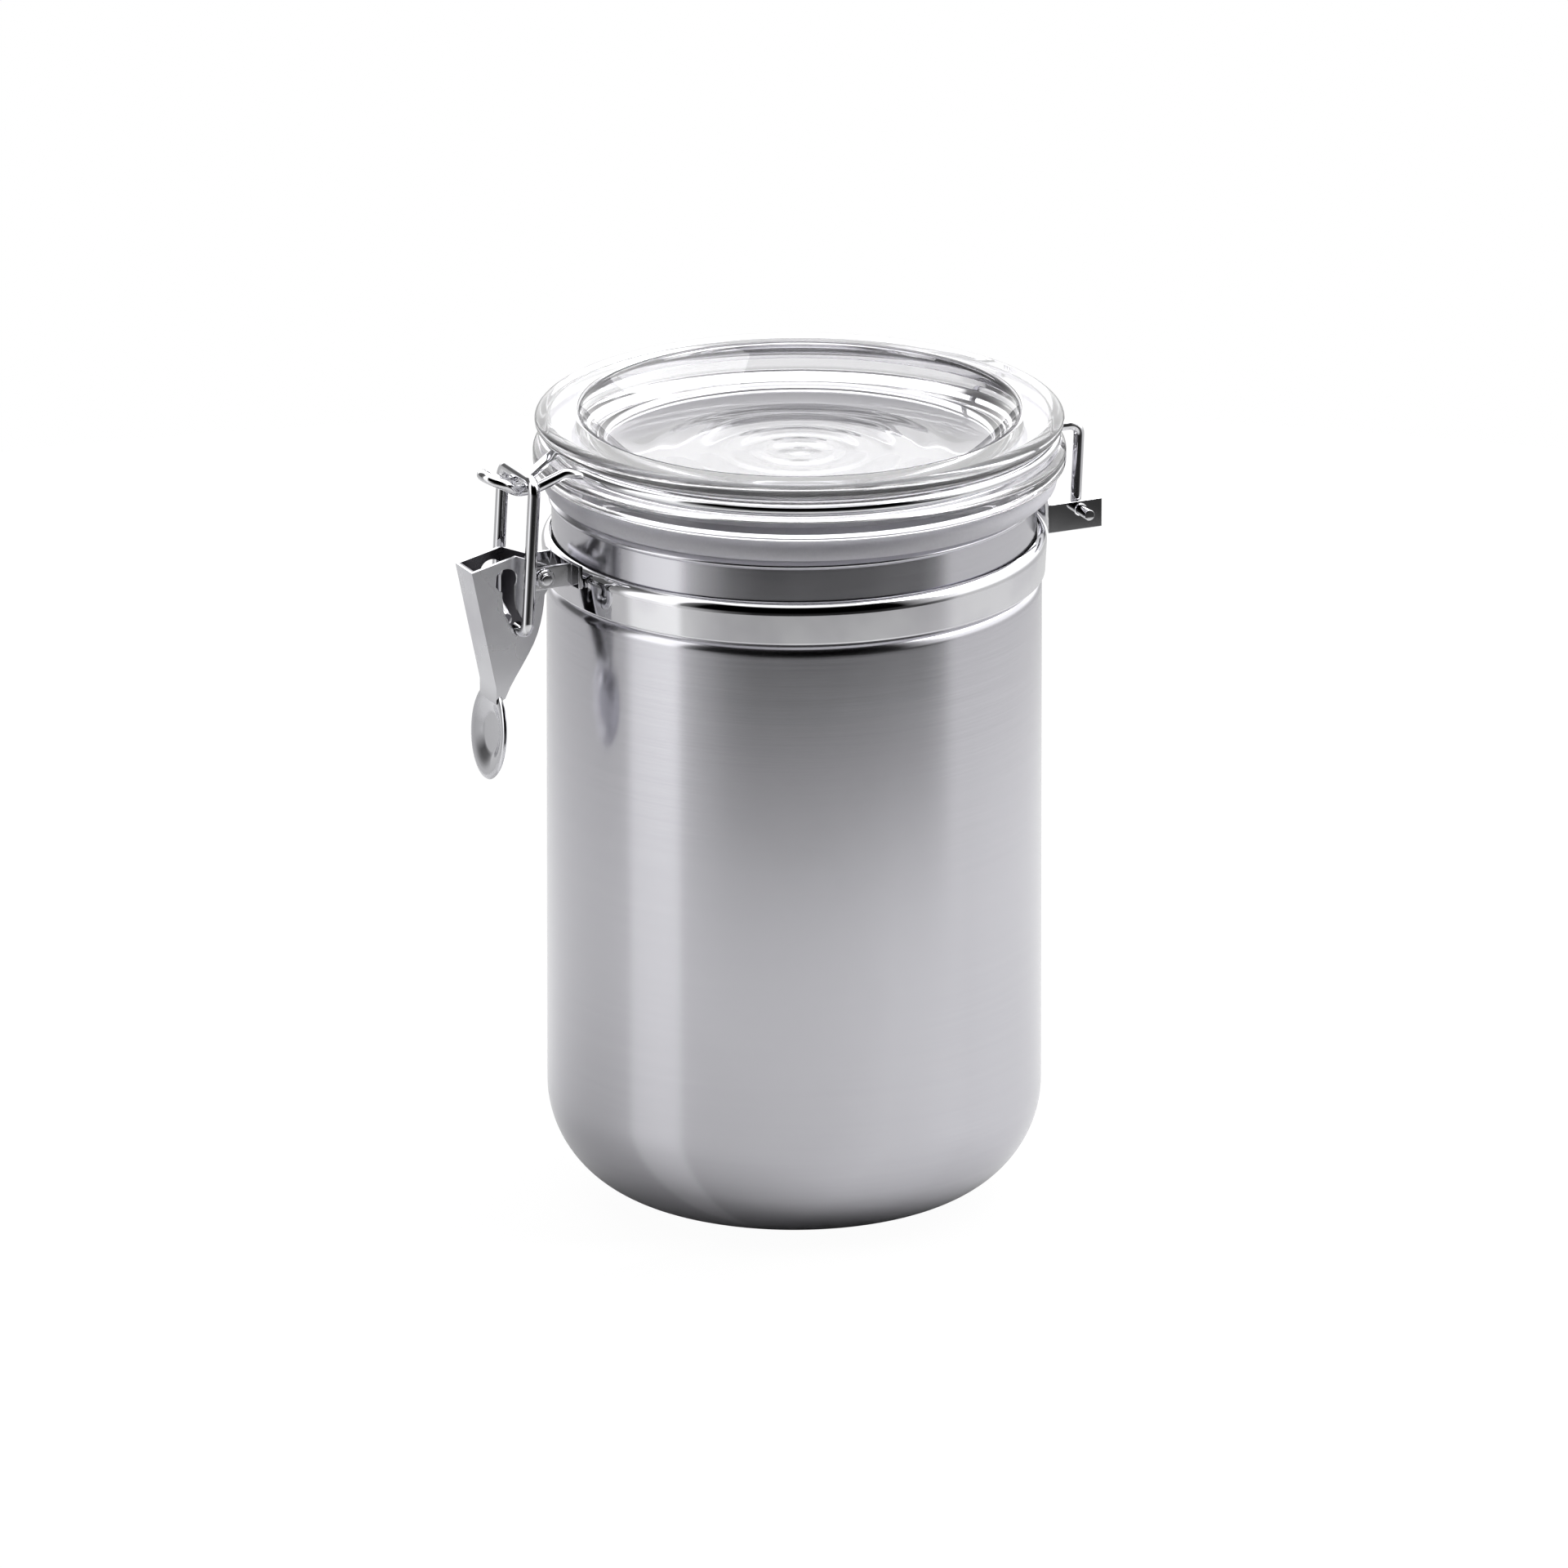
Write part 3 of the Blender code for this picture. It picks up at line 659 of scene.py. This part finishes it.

# %% [markdown]
# ### Lever steel
#
# The channel of the lever has a soft satin polish, and its thumb tab is a mirror. Height tells the
# two apart. The inside of the channel gets a dark colour that is painted shade: it lies between
# the cheeks and behind the spine, whose slope is followed by a sum of depth and height.

# %% Lever steel
CHANNEL_HALF = 3.6 * MM
SPINE_SLOPE = 0.2145
SPINE_LINE = -47.1 * MM
MIRROR_TOP = 124.0 * MM
SATIN_FOOT = 134.0 * MM


def make_lever_steel():
    material, tree, shader = new_finish("lever_steel", (0.74, 0.74, 0.77), 0.2, 1.0)
    place = node(tree, "ShaderNodeTexCoord", -1300, 200)
    parts = node(tree, "ShaderNodeSeparateXYZ", -1100, 0)
    above = node(tree, "ShaderNodeMapRange", -900, 0, interpolation_type="SMOOTHSTEP")
    above.inputs["From Min"].default_value = MIRROR_TOP
    above.inputs["From Max"].default_value = SATIN_FOOT
    tree.links.new(place.outputs["Object"], parts.inputs["Vector"])
    tree.links.new(parts.outputs["Z"], above.inputs["Value"])
    marks = add_marks(tree, 260.0, 60.0)
    satin = to_range(tree, above.outputs["Result"], 0.05, 0.27, -600, -60)
    rough = node(tree, "ShaderNodeMath", -400, -100, operation="ADD")
    tree.links.new(satin, rough.inputs[0])
    tree.links.new(to_range(tree, marks.outputs["Smudges"], 0.0, 0.04, -600, -260), rough.inputs[1])
    tree.links.new(rough.outputs["Value"], shader.inputs["Roughness"])
    tone = node(tree, "ShaderNodeMix", -400, 300, data_type="RGBA")
    tone.inputs["A"].default_value = (0.76, 0.76, 0.79, 1.0)
    tone.inputs["B"].default_value = (0.70, 0.695, 0.73, 1.0)
    tree.links.new(marks.outputs["Smudges"], tone.inputs["Factor"])
    sideways = node(tree, "ShaderNodeMath", -900, 500, operation="ABSOLUTE")
    within = node(tree, "ShaderNodeMath", -700, 500, operation="LESS_THAN")
    within.inputs[1].default_value = CHANNEL_HALF
    hidden = node(tree, "ShaderNodeMath", -500, 500, operation="MULTIPLY")
    slope = node(tree, "ShaderNodeMath", -900, 700, operation="MULTIPLY_ADD")
    slope.inputs[1].default_value = SPINE_SLOPE
    behind = node(tree, "ShaderNodeMath", -700, 700, operation="GREATER_THAN")
    behind.inputs[1].default_value = SPINE_LINE
    both = node(tree, "ShaderNodeMath", -350, 600, operation="MULTIPLY")
    # Painted shade: the inside of the channel, between the cheeks and behind the spine, is coloured dark.
    painted_shade = node(tree, "ShaderNodeMix", -200, 300, data_type="RGBA")
    painted_shade.inputs["B"].default_value = (0.16, 0.155, 0.17, 1.0)
    tree.links.new(parts.outputs["X"], sideways.inputs[0])
    tree.links.new(sideways.outputs["Value"], within.inputs[0])
    tree.links.new(within.outputs["Value"], hidden.inputs[0])
    tree.links.new(above.outputs["Result"], hidden.inputs[1])
    tree.links.new(parts.outputs["Z"], slope.inputs[0])
    tree.links.new(parts.outputs["Y"], slope.inputs[2])
    tree.links.new(slope.outputs["Value"], behind.inputs[0])
    tree.links.new(hidden.outputs["Value"], both.inputs[0])
    tree.links.new(behind.outputs["Value"], both.inputs[1])
    tree.links.new(both.outputs["Value"], painted_shade.inputs["Factor"])
    tree.links.new(tone.outputs["Result"], painted_shade.inputs["A"])
    tree.links.new(painted_shade.outputs["Result"], shader.inputs["Base Color"])
    add_bump(tree, shader, marks.outputs["Lines"], 0.05, 0.01)
    return material


lever_steel = make_lever_steel()
print("finish", lever_steel.name)

# %% [markdown]
# ### Clear plastic and silicone
#
# The lid is a clear hard plastic. Its surface is never as flat as glass: it has slow waves from the
# mould, which bend what is seen through it. The gasket is milky silicone with a fine matt grain.

# %% Clear plastic
def make_clear_plastic():
    material, tree, shader = new_finish("clear_plastic", (0.94, 0.935, 0.955), 0.02, 0.0)
    shader.inputs["Transmission Weight"].default_value = 0.96
    shader.inputs["IOR"].default_value = 1.49
    place = node(tree, "ShaderNodeTexCoord", -1300, 200)
    waves = node(tree, "ShaderNodeTexNoise", -900, 200)
    waves.inputs["Scale"].default_value = 55.0
    waves.inputs["Detail"].default_value = 1.0
    tree.links.new(place.outputs["Object"], waves.inputs["Vector"])
    marks = add_marks(tree, 120.0, 35.0)
    rough = to_range(tree, marks.outputs["Smudges"], 0.01, 0.05, -600, -60)
    tree.links.new(rough, shader.inputs["Roughness"])
    add_bump(tree, shader, waves.outputs["Fac"], 0.3, 0.3)
    return material


clear_plastic = make_clear_plastic()
print("finish", clear_plastic.name)


# %% Silicone
def make_silicone():
    material, tree, shader = new_finish("silicone", (0.80, 0.79, 0.83), 0.45, 0.0)
    shader.inputs["Transmission Weight"].default_value = 0.35
    shader.inputs["IOR"].default_value = 1.41
    place = node(tree, "ShaderNodeTexCoord", -1300, 200)
    grain = node(tree, "ShaderNodeTexNoise", -900, 200)
    grain.inputs["Scale"].default_value = 1800.0
    tree.links.new(place.outputs["Object"], grain.inputs["Vector"])
    tone = node(tree, "ShaderNodeMix", -400, 300, data_type="RGBA")
    tone.inputs["A"].default_value = (0.76, 0.75, 0.80, 1.0)
    tone.inputs["B"].default_value = (0.86, 0.855, 0.89, 1.0)
    tree.links.new(grain.outputs["Fac"], tone.inputs["Factor"])
    tree.links.new(tone.outputs["Result"], shader.inputs["Base Color"])
    rough = to_range(tree, grain.outputs["Fac"], 0.38, 0.55, -600, -60)
    tree.links.new(rough, shader.inputs["Roughness"])
    add_bump(tree, shader, grain.outputs["Fac"], 0.2, 0.05)
    return material


silicone = make_silicone()
print("finish", silicone.name)

# %% [markdown]
# ## Canister shell
#
# The real shell is drawn from one steel disc: a press makes the deep cup with its wide bottom
# corner, a second tool steps the neck in, and a roller beads the mouth. It could be a cylinder with
# loop cuts, but every section of it is round, so one profile that is spun is truer and lighter.

# %% Canister shell
CORNER_R = 25.0
WALL = 0.6
NECK_R = 53.9
SHOULDER_R = 3.0
SHOULDER_MIDDLE = band_low[2] - 2.6
BEAD_R = 0.55

outside = [(BODY_R - CORNER_R - 3.0, 0.0)]
outside += arc(BODY_R - CORNER_R, CORNER_R, CORNER_R, -90.0, 0.0, 28)
outside += [(BODY_R, CORNER_R + 0.8), (BODY_R, 80.0), (BODY_R, SHOULDER_MIDDLE - 0.6)]
outside += arc(BODY_R - SHOULDER_R, SHOULDER_MIDDLE, SHOULDER_R, 0.0, 50.7, 10)
outside += [(NECK_R, band_low[2] + 0.4), (NECK_R, MOUTH_Z - 1.9)]
outside += arc(NECK_R + BEAD_R - 0.4, MOUTH_Z - 1.1, BEAD_R, -60.0, 60.0, 6)
outside += [(NECK_R - 0.1, MOUTH_Z)]
inside = arc(NECK_R - WALL + 0.2, MOUTH_Z - 0.25, 0.25, 90.0, 180.0, 3)
inside += arc(BODY_R - SHOULDER_R, SHOULDER_MIDDLE, SHOULDER_R - WALL, 33.0, 0.0, 6)
inside += [(BODY_R - WALL, 100.0)]
inside += arc(BODY_R - CORNER_R, CORNER_R, CORNER_R - WALL, 0.0, -90.0, 28)
inside += [(0.0, WALL), (0.0, 0.8 - WALL)]
under = [(BODY_R - CORNER_R - 6.0, 0.8 - WALL)]
shell = turned("canister_shell_drawn", outside + inside + under)
finish(shell, "canister", brushed_steel, ["canister_shell"])

# %% [markdown]
# ## Clamp band
#
# A strip of polished steel is rolled into a ring. Its upper edge is curled in over the neck with a
# wide radius, and its lower edge stands just clear of the body's rounded shoulder. Both rounds
# mirror the dark side of the room, so they draw two black lines round the canister. The face
# between them leans in a little at its foot and mirrors the near floor. A ring of points close to
# each round keeps the face straight.

# %% Clamp band
BAND_R = band_high[0]
BAND_IN_R = 54.3
ROLL = 2.8
ROLL_END = 66.0
LOWER_EDGE = band_low[2] + 0.5
FACE_LEAN = 0.36

upper = arc(BAND_R - ROLL, band_high[2] - ROLL, ROLL, ROLL_END, 0.0, 12)
face_low = BAND_R - FACE_LEAN
face = [(BAND_R, upper[-1][1] - 0.15), (face_low, LOWER_EDGE + 0.6)]
lower = arc(face_low - 0.5, LOWER_EDGE + 0.5, 0.5, 0.0, -90.0, 5)
hidden_side = [(BAND_IN_R, LOWER_EDGE), (BAND_IN_R, upper[0][1] - 0.5)]
band = turned("clamp_band_rolled", upper + face + lower + hidden_side)
finish(band, "canister", polished_steel, ["clamp_band"], 50.0)

# %% [markdown]
# ## Gasket
#
# A silicone ring with a soft lip, turned like the band.

# %% Gasket
GASKET_IN_R = 49.9
GASKET_R = gasket_high[0]
middle = (gasket_low[2] + gasket_high[2]) / 2
lip = (gasket_high[2] - gasket_low[2]) / 2
ring = [(GASKET_IN_R, gasket_high[2])] + arc(GASKET_R - lip, middle, lip, 90.0, -90.0, 10)
gasket = turned("gasket_ring", ring + [(GASKET_IN_R, gasket_low[2])], LID_Y)
finish(gasket, "lid_assembly", silicone, ["gasket"], 50.0)

# %% [markdown]
# ## Lid
#
# The lid is one clear moulding. From the middle outwards: a dished floor with faint steps, the
# recess wall, a thick rounded rim, the groove for the wire, a lower flange, and a skirt that finds
# the mouth. Clear plastic shows every part of its section, inside and out, so the profile is a
# closed wall and not a skin.

# %% Lid
FLOOR_Z = 170.8
FLOOR_WALL = 2.8
RECESS_R = 48.7
RIM_R = 58.8
GROOVE_R = 55.3
GROOVE_TOP = 176.6
GROOVE_BOTTOM = 173.0
FLANGE_BOTTOM = gasket_high[2] + 0.4
SKIRT_R = 49.5
SKIRT_BOTTOM = lid_low[2]
SKIRT_WALL = 2.6


def dish(radius):
    """Height of the recess floor above its middle: flat, then curving up into the wall."""
    return 9.4 * max(0.0, (radius - 26.0) / (RECESS_R - 26.0)) ** 3.2


floor_line = []
for step in range(45):
    radius = RECESS_R * step / 44
    ripple_height = 0.10 * math.cos(radius * math.tau / 7.5) * (1.0 - radius / RECESS_R)
    floor_line.append((radius, FLOOR_Z + dish(radius) + ripple_height))
rim_line = arc(RECESS_R + 1.6, LID_TOP - 1.6, 1.6, 160.0, 90.0, 8, 1.0)
rim_line += arc(RIM_R - 3.4, LID_TOP - 3.4 * 0.62, 3.4, 80.0, -38.0, 16, 0.62)
groove_line = arc(GROOVE_R + 0.7, GROOVE_TOP - 0.7, 0.7, 90.0, 180.0, 5)
groove_line += arc(GROOVE_R + 0.7, GROOVE_BOTTOM + 0.7, 0.7, 180.0, 270.0, 5)
flange_line = arc(LID_R - 1.6, GROOVE_BOTTOM - 1.6, 1.6, 90.0, 0.0, 8)
flange_line += arc(LID_R - 1.4, FLANGE_BOTTOM + 1.4, 1.4, 0.0, -90.0, 8)
skirt_line = [(SKIRT_R + 0.2, FLANGE_BOTTOM), (SKIRT_R, FLANGE_BOTTOM - 0.2), (SKIRT_R, SKIRT_BOTTOM + 3.0)]
skirt_line += arc(SKIRT_R - 1.6, SKIRT_BOTTOM + 1.6, 1.6, 0.0, -90.0, 6)
skirt_line += [(SKIRT_R - SKIRT_WALL, SKIRT_BOTTOM + 0.3), (SKIRT_R - SKIRT_WALL, FLOOR_Z - 3.0)]
under_line = []
for step in range(31):
    radius = (SKIRT_R - SKIRT_WALL - 1.5) * (1 - step / 30)
    under_line.append((radius, FLOOR_Z - FLOOR_WALL + 0.55 * dish(radius)))
lid = turned("lid_moulding", floor_line + rim_line + groove_line + flange_line + skirt_line + under_line,
             LID_Y, closed=False)
finish(lid, "lid_assembly", clear_plastic, ["lid"], 50.0)

# %% [markdown]
# ## Lid wire
#
# One wire does three jobs. It runs round the lid's groove, sticks out at the front as a nose for the
# latch, and drops at the back as two legs whose ends turn outwards into the hinge ears. Half of it
# is drawn, and the other half is its mirror image. The nose dips and then rises to its tip, so that
# the link can't slip off.

# %% Lid wire
LID_WIRE_R = 1.2
RING_R = 56.9
RING_Z = 175.0
NOSE_TIP = (wire_low[1] + LID_WIRE_R, 175.1)
NOSE_RISE = 1.6
NOSE_LOOP_R = 3.6
WAIST_X = 3.0
WAIST_Y = -66.9
WAIST_Z = 171.6
LEAVE_X = 6.6
LEG_X = 20.0
LEG_TOP_Y = 60.5
STUB_END_X = 27.4


def nose_half():
    """From the tip of the nose back to the ring, on the +X side."""
    tip = []
    for step in range(13):
        angle = math.radians(7.5 * step)
        back = 1.0 - math.cos(angle)
        tip.append(Vector((NOSE_LOOP_R * math.sin(angle), NOSE_TIP[0] + NOSE_LOOP_R * back,
                           NOSE_TIP[1] - NOSE_RISE * back)))
    ring_y = LID_Y - math.sqrt(RING_R ** 2 - LEAVE_X ** 2)
    corners = [(tip[-1], 0.0),
               ((WAIST_X + 0.3, WAIST_Y - 2.2, WAIST_Z), 4.0),
               ((WAIST_X, WAIST_Y + 2.2, WAIST_Z), 4.0),
               ((LEAVE_X - 1.4, ring_y - 2.8, RING_Z), 3.0),
               ((LEAVE_X + 1.6, ring_y + 0.1, RING_Z), 0.0)]
    return tip + rounded(corners)[1:]


def ring_half():
    """Round the lid's groove, from the nose to the hinge leg, on the +X side."""
    start = math.asin((LEAVE_X + 1.6) / RING_R) + math.radians(2.5)
    end = math.pi - math.asin(LEG_X / RING_R) - math.radians(5.0)
    angles = [start + (end - start) * step / 90 for step in range(91)]
    return [Vector((RING_R * math.sin(angle), LID_Y - RING_R * math.cos(angle), RING_Z))
            for angle in angles]


def leg_half():
    """Out of the groove, down to the ear, and out through its hole."""
    leave_y = LID_Y + math.sqrt(RING_R ** 2 - LEG_X ** 2)
    corners = [(ring_half()[-1], 0.0),
               ((LEG_X, leave_y, RING_Z), 1.6),
               ((LEG_X, LEG_TOP_Y, RING_Z), 2.4),
               ((LEG_X, HINGE_AXIS[1], HINGE_AXIS[2]), 1.4),
               ((STUB_END_X, HINGE_AXIS[1], HINGE_AXIS[2]), 0.0)]
    return rounded(corners)[1:]


half_wire = nose_half() + ring_half() + leg_half()
other_half = [Vector((-point.x, point.y, point.z)) for point in half_wire[:0:-1]]
lid_wire = bent_wire("lid_wire_bent", other_half + half_wire, LID_WIRE_R, 0.25)
finish(lid_wire, "lid_assembly", polished_steel, ["lid_wire"], 40.0)

# %% [markdown]
# ## Brackets
#
# Each bracket is a strip with a foot that follows the band and two ears that stand off it. Its plan
# is drawn once and pulled up to its height, the pivot holes are drilled, and the edges are rounded
# as a tumbling barrel leaves them.

# %% Brackets
EAR = 1.0


def bracket_plan(side, ear_in_x, ear_end_y, flange):
    """Closed plan of a bracket in millimetres; side is -1 for the front and 1 for the back."""
    in_r = BAND_R + 0.3
    out_r = in_r + EAR
    ear_out_x = ear_in_x + EAR
    end_x = ear_out_x + flange
    half = [(end_x * step / 8, in_r) for step in range(9)]
    half += [(end_x, out_r)] if flange else []
    half += [(ear_out_x, out_r)]
    plan = [(x, math.sqrt(radius ** 2 - x ** 2)) for x, radius in half]
    plan += [(ear_out_x, ear_end_y), (ear_in_x, ear_end_y)]
    plan += [(ear_in_x * (1 - step / 8), math.sqrt(out_r ** 2 - (ear_in_x * (1 - step / 8)) ** 2))
             for step in range(9)]
    plan += [(-x, y) for x, y in plan[-2:0:-1]]
    return [(x, side * y) for x, y in plan]


def make_bracket(name, side, ear_in_x, ear_end_y, flange, low, high, hole):
    outline = [(x, y, low) for x, y in bracket_plan(side, ear_in_x, ear_end_y, flange)]
    bracket = plate(name, outline, (0.0, 0.0, high - low))
    drill(bracket, *hole)
    round_edges(bracket, 0.16, 2, 32.0)
    return bracket


latch_bracket = make_bracket("latch_bracket_folded", -1.0, 4.8, -latch_low[1], 3.0, latch_low[2],
                             latch_high[2], (PIVOT[1], PIVOT[2], 1.5, 12.0))
finish(latch_bracket, "canister", polished_steel, ["latch_bracket"], 30.0)
hinge_bracket = make_bracket("hinge_bracket_folded", 1.0, 21.6, hinge_high[1], 0.0, hinge_low[2],
                             hinge_high[2], (HINGE_AXIS[1], HINGE_AXIS[2], 1.4, 30.0))
finish(hinge_bracket, "canister", polished_steel, ["hinge_bracket"], 30.0)

# %% [markdown]
# ## Pivot pin
#
# A rivet with a washer head at each end. It lies across the latch, so it is turned upright like the
# other round pieces, and then laid along X.

# %% Pivot pin
PIN_R = 1.3
HEAD_R = 2.2
HEAD_IN = 6.1
HEAD_OUT = 6.7
PIN_END = 7.5

half_pin = [(PIN_R, HEAD_IN), (HEAD_R - 0.15, HEAD_IN), (HEAD_R, HEAD_IN + 0.15), (HEAD_R, HEAD_OUT - 0.2)]
half_pin += [(HEAD_R - 0.2, HEAD_OUT), (PIN_R + 0.1, HEAD_OUT), (PIN_R, HEAD_OUT + 0.1)]
half_pin += arc(PIN_R - 0.35, PIN_END - 0.35, 0.35, 0.0, 90.0, 5) + [(0.0, PIN_END - 0.08)]
pin_line = half_pin[::-1] + [(radius, -height) for radius, height in half_pin]
pin = turned("lever_rivet", pin_line, steps=48, closed=False)
bpy.ops.object.select_all(action="DESELECT")
pin.select_set(True)
pin.rotation_euler = (0.0, math.pi / 2, 0.0)
pin.location = Vector(PIVOT) * MM
bpy.ops.object.transform_apply(location=True, rotation=True, scale=True)
finish(pin, "canister", polished_steel, ["lever_pivot_pin"], 35.0)

# %% [markdown]
# ## Lever
#
# The lever is one blank folded into a channel, with its tail pressed into a dished thumb tab. Its
# side is drawn as a plate as wide as the lever; a second, narrower plate takes out the inside and
# leaves the spine and two cheeks. The holes are drilled through both cheeks at once, and a bent slot
# joins two of them to a keyhole: the link's end goes in through the round hole and drops to the bottom.

# %% Lever channel
LEVER_HALF = 4.4
SHEET = 0.9
SPINE_TOP = (lever_low[1], 154.4)
SPINE_FOOT = (-74.8, 126.9)
WINDOW = (-72.3, 151.6)
WINDOW_R = 2.75


def cheek_side():
    """Side view of the lever, from the top of the spine round to its foot."""
    outline = [SPINE_TOP, (-69.9, 156.9)]
    outline += arc(PIVOT[1], PIVOT[2], 2.9, 75.0, -30.0, 12)
    outline += [(-63.0, 147.1), (-63.2, 145.0), (-63.5, 143.0), (-64.0, 140.7), (-64.7, 138.4),
                (-65.7, 136.1), (-67.0, 133.8), (-68.5, 131.4), (-70.0, 129.1), (-71.4, 126.8),
                (-72.6, 124.3)]
    return outline + [(SPINE_FOOT[0], 123.1), SPINE_FOOT]


lever = plate("lever_folded", [(-LEVER_HALF, y, z) for y, z in cheek_side()], (2 * LEVER_HALF, 0.0, 0.0))
inner = LEVER_HALF - SHEET
low = SPINE_FOOT[1] - SHEET
slot_side = [(SPINE_TOP[0] + SHEET, SPINE_TOP[1]), (SPINE_TOP[0] + SHEET - 1.2, SPINE_TOP[1] + 6.0),
             (PIVOT[1] + 8.0, SPINE_TOP[1] + 6.0), (PIVOT[1] + 8.0, low), (SPINE_FOOT[0] + SHEET, low)]
cut(lever, plate("lever_inside", [(-inner, y, z) for y, z in slot_side], (2 * inner, 0.0, 0.0)))
drill(lever, PIVOT[1], PIVOT[2], 1.5, 8.0)
drill(lever, LINK_AXIS[1], LINK_AXIS[2], 1.6, 8.0)
drill(lever, *WINDOW, WINDOW_R, 8.0)
slot = [(-73.3, 150.4), (-73.3, 145.8), (-72.8, 144.0), (-71.7, 141.9), (-70.6, 140.1), (-69.2, 139.0),
        (-67.6, 140.2), (-68.3, 142.0), (-69.5, 144.2), (-70.0, 146.2), (-70.0, 150.4)]
cut(lever, plate("link_slot", [(-8.0, y, z) for y, z in slot], (16.0, 0.0, 0.0)))
print("channel", len(lever.data.polygons), "faces")

# %% [markdown]
# The thumb tab is an oval dish: a flat pad in the middle, a sloping wall and a rounded rim. It is
# turned as a round dish, squeezed to an oval, stood up, and joined to the channel's foot.

# %% Thumb tab
TAB_CENTRE = (-73.9, 115.6)
TAB_HALF_LENGTH = 10.8
TAB_HALF_WIDTH = 8.8
TAB_LEAN = math.radians(4.5)

front = [(0.0, 0.0), (0.40, 0.0), (0.44, 0.06), (0.50, 0.26), (0.60, 0.62), (0.70, 0.94), (0.80, 1.18),
         (0.88, 1.28), (0.94, 1.22), (0.98, 0.98), (1.0, 0.66)]
back = [(0.98, 0.38), (0.94, 0.30), (0.88, 0.34), (0.80, 0.24), (0.70, 0.02), (0.60, -0.28), (0.50, -0.64),
        (0.44, -0.84), (0.40, -0.9), (0.0, -0.9)]
tab = turned("thumb_tab", [(share * TAB_HALF_LENGTH, depth) for share, depth in front + back],
             steps=96, closed=False)
bpy.ops.object.select_all(action="DESELECT")
tab.select_set(True)
tab.scale = (TAB_HALF_WIDTH / TAB_HALF_LENGTH, 1.0, 1.0)
bpy.ops.object.transform_apply(location=True, rotation=True, scale=True)
tab.rotation_euler = (math.radians(90.0) - TAB_LEAN, 0.0, 0.0)
tab.location = (0.0, TAB_CENTRE[0] * MM, TAB_CENTRE[1] * MM)
bpy.ops.object.transform_apply(location=True, rotation=True, scale=True)
round_edges(lever, 0.22, 3, 32.0)
cut(lever, tab, "UNION")
finish(lever, "toggle_lever", lever_steel, ["lever"], 32.0)

# %% [markdown]
# ## Link
#
# A rectangular bail of thicker wire. Its ends turn inwards through the lever's cheeks.

# %% Link
LINK_WIRE_R = 1.4
LINK_LEG_X = 8.3
LINK_END_X = 2.9
BAR = (-67.2, link_high[2] - LINK_WIRE_R)
BEND = 2.6

half_link = [((LINK_END_X, LINK_AXIS[1], LINK_AXIS[2]), 0.0),
             ((LINK_LEG_X, LINK_AXIS[1], LINK_AXIS[2]), BEND), ((LINK_LEG_X, *BAR), BEND)]
link_path = rounded(half_link + [((-point[0], *point[1:]), bend) for point, bend in half_link[::-1]], 10)
link = bent_wire("link_bail_bent", link_path, LINK_WIRE_R, 0.3)
finish(link, "link", polished_steel, ["link_bail"], 40.0)
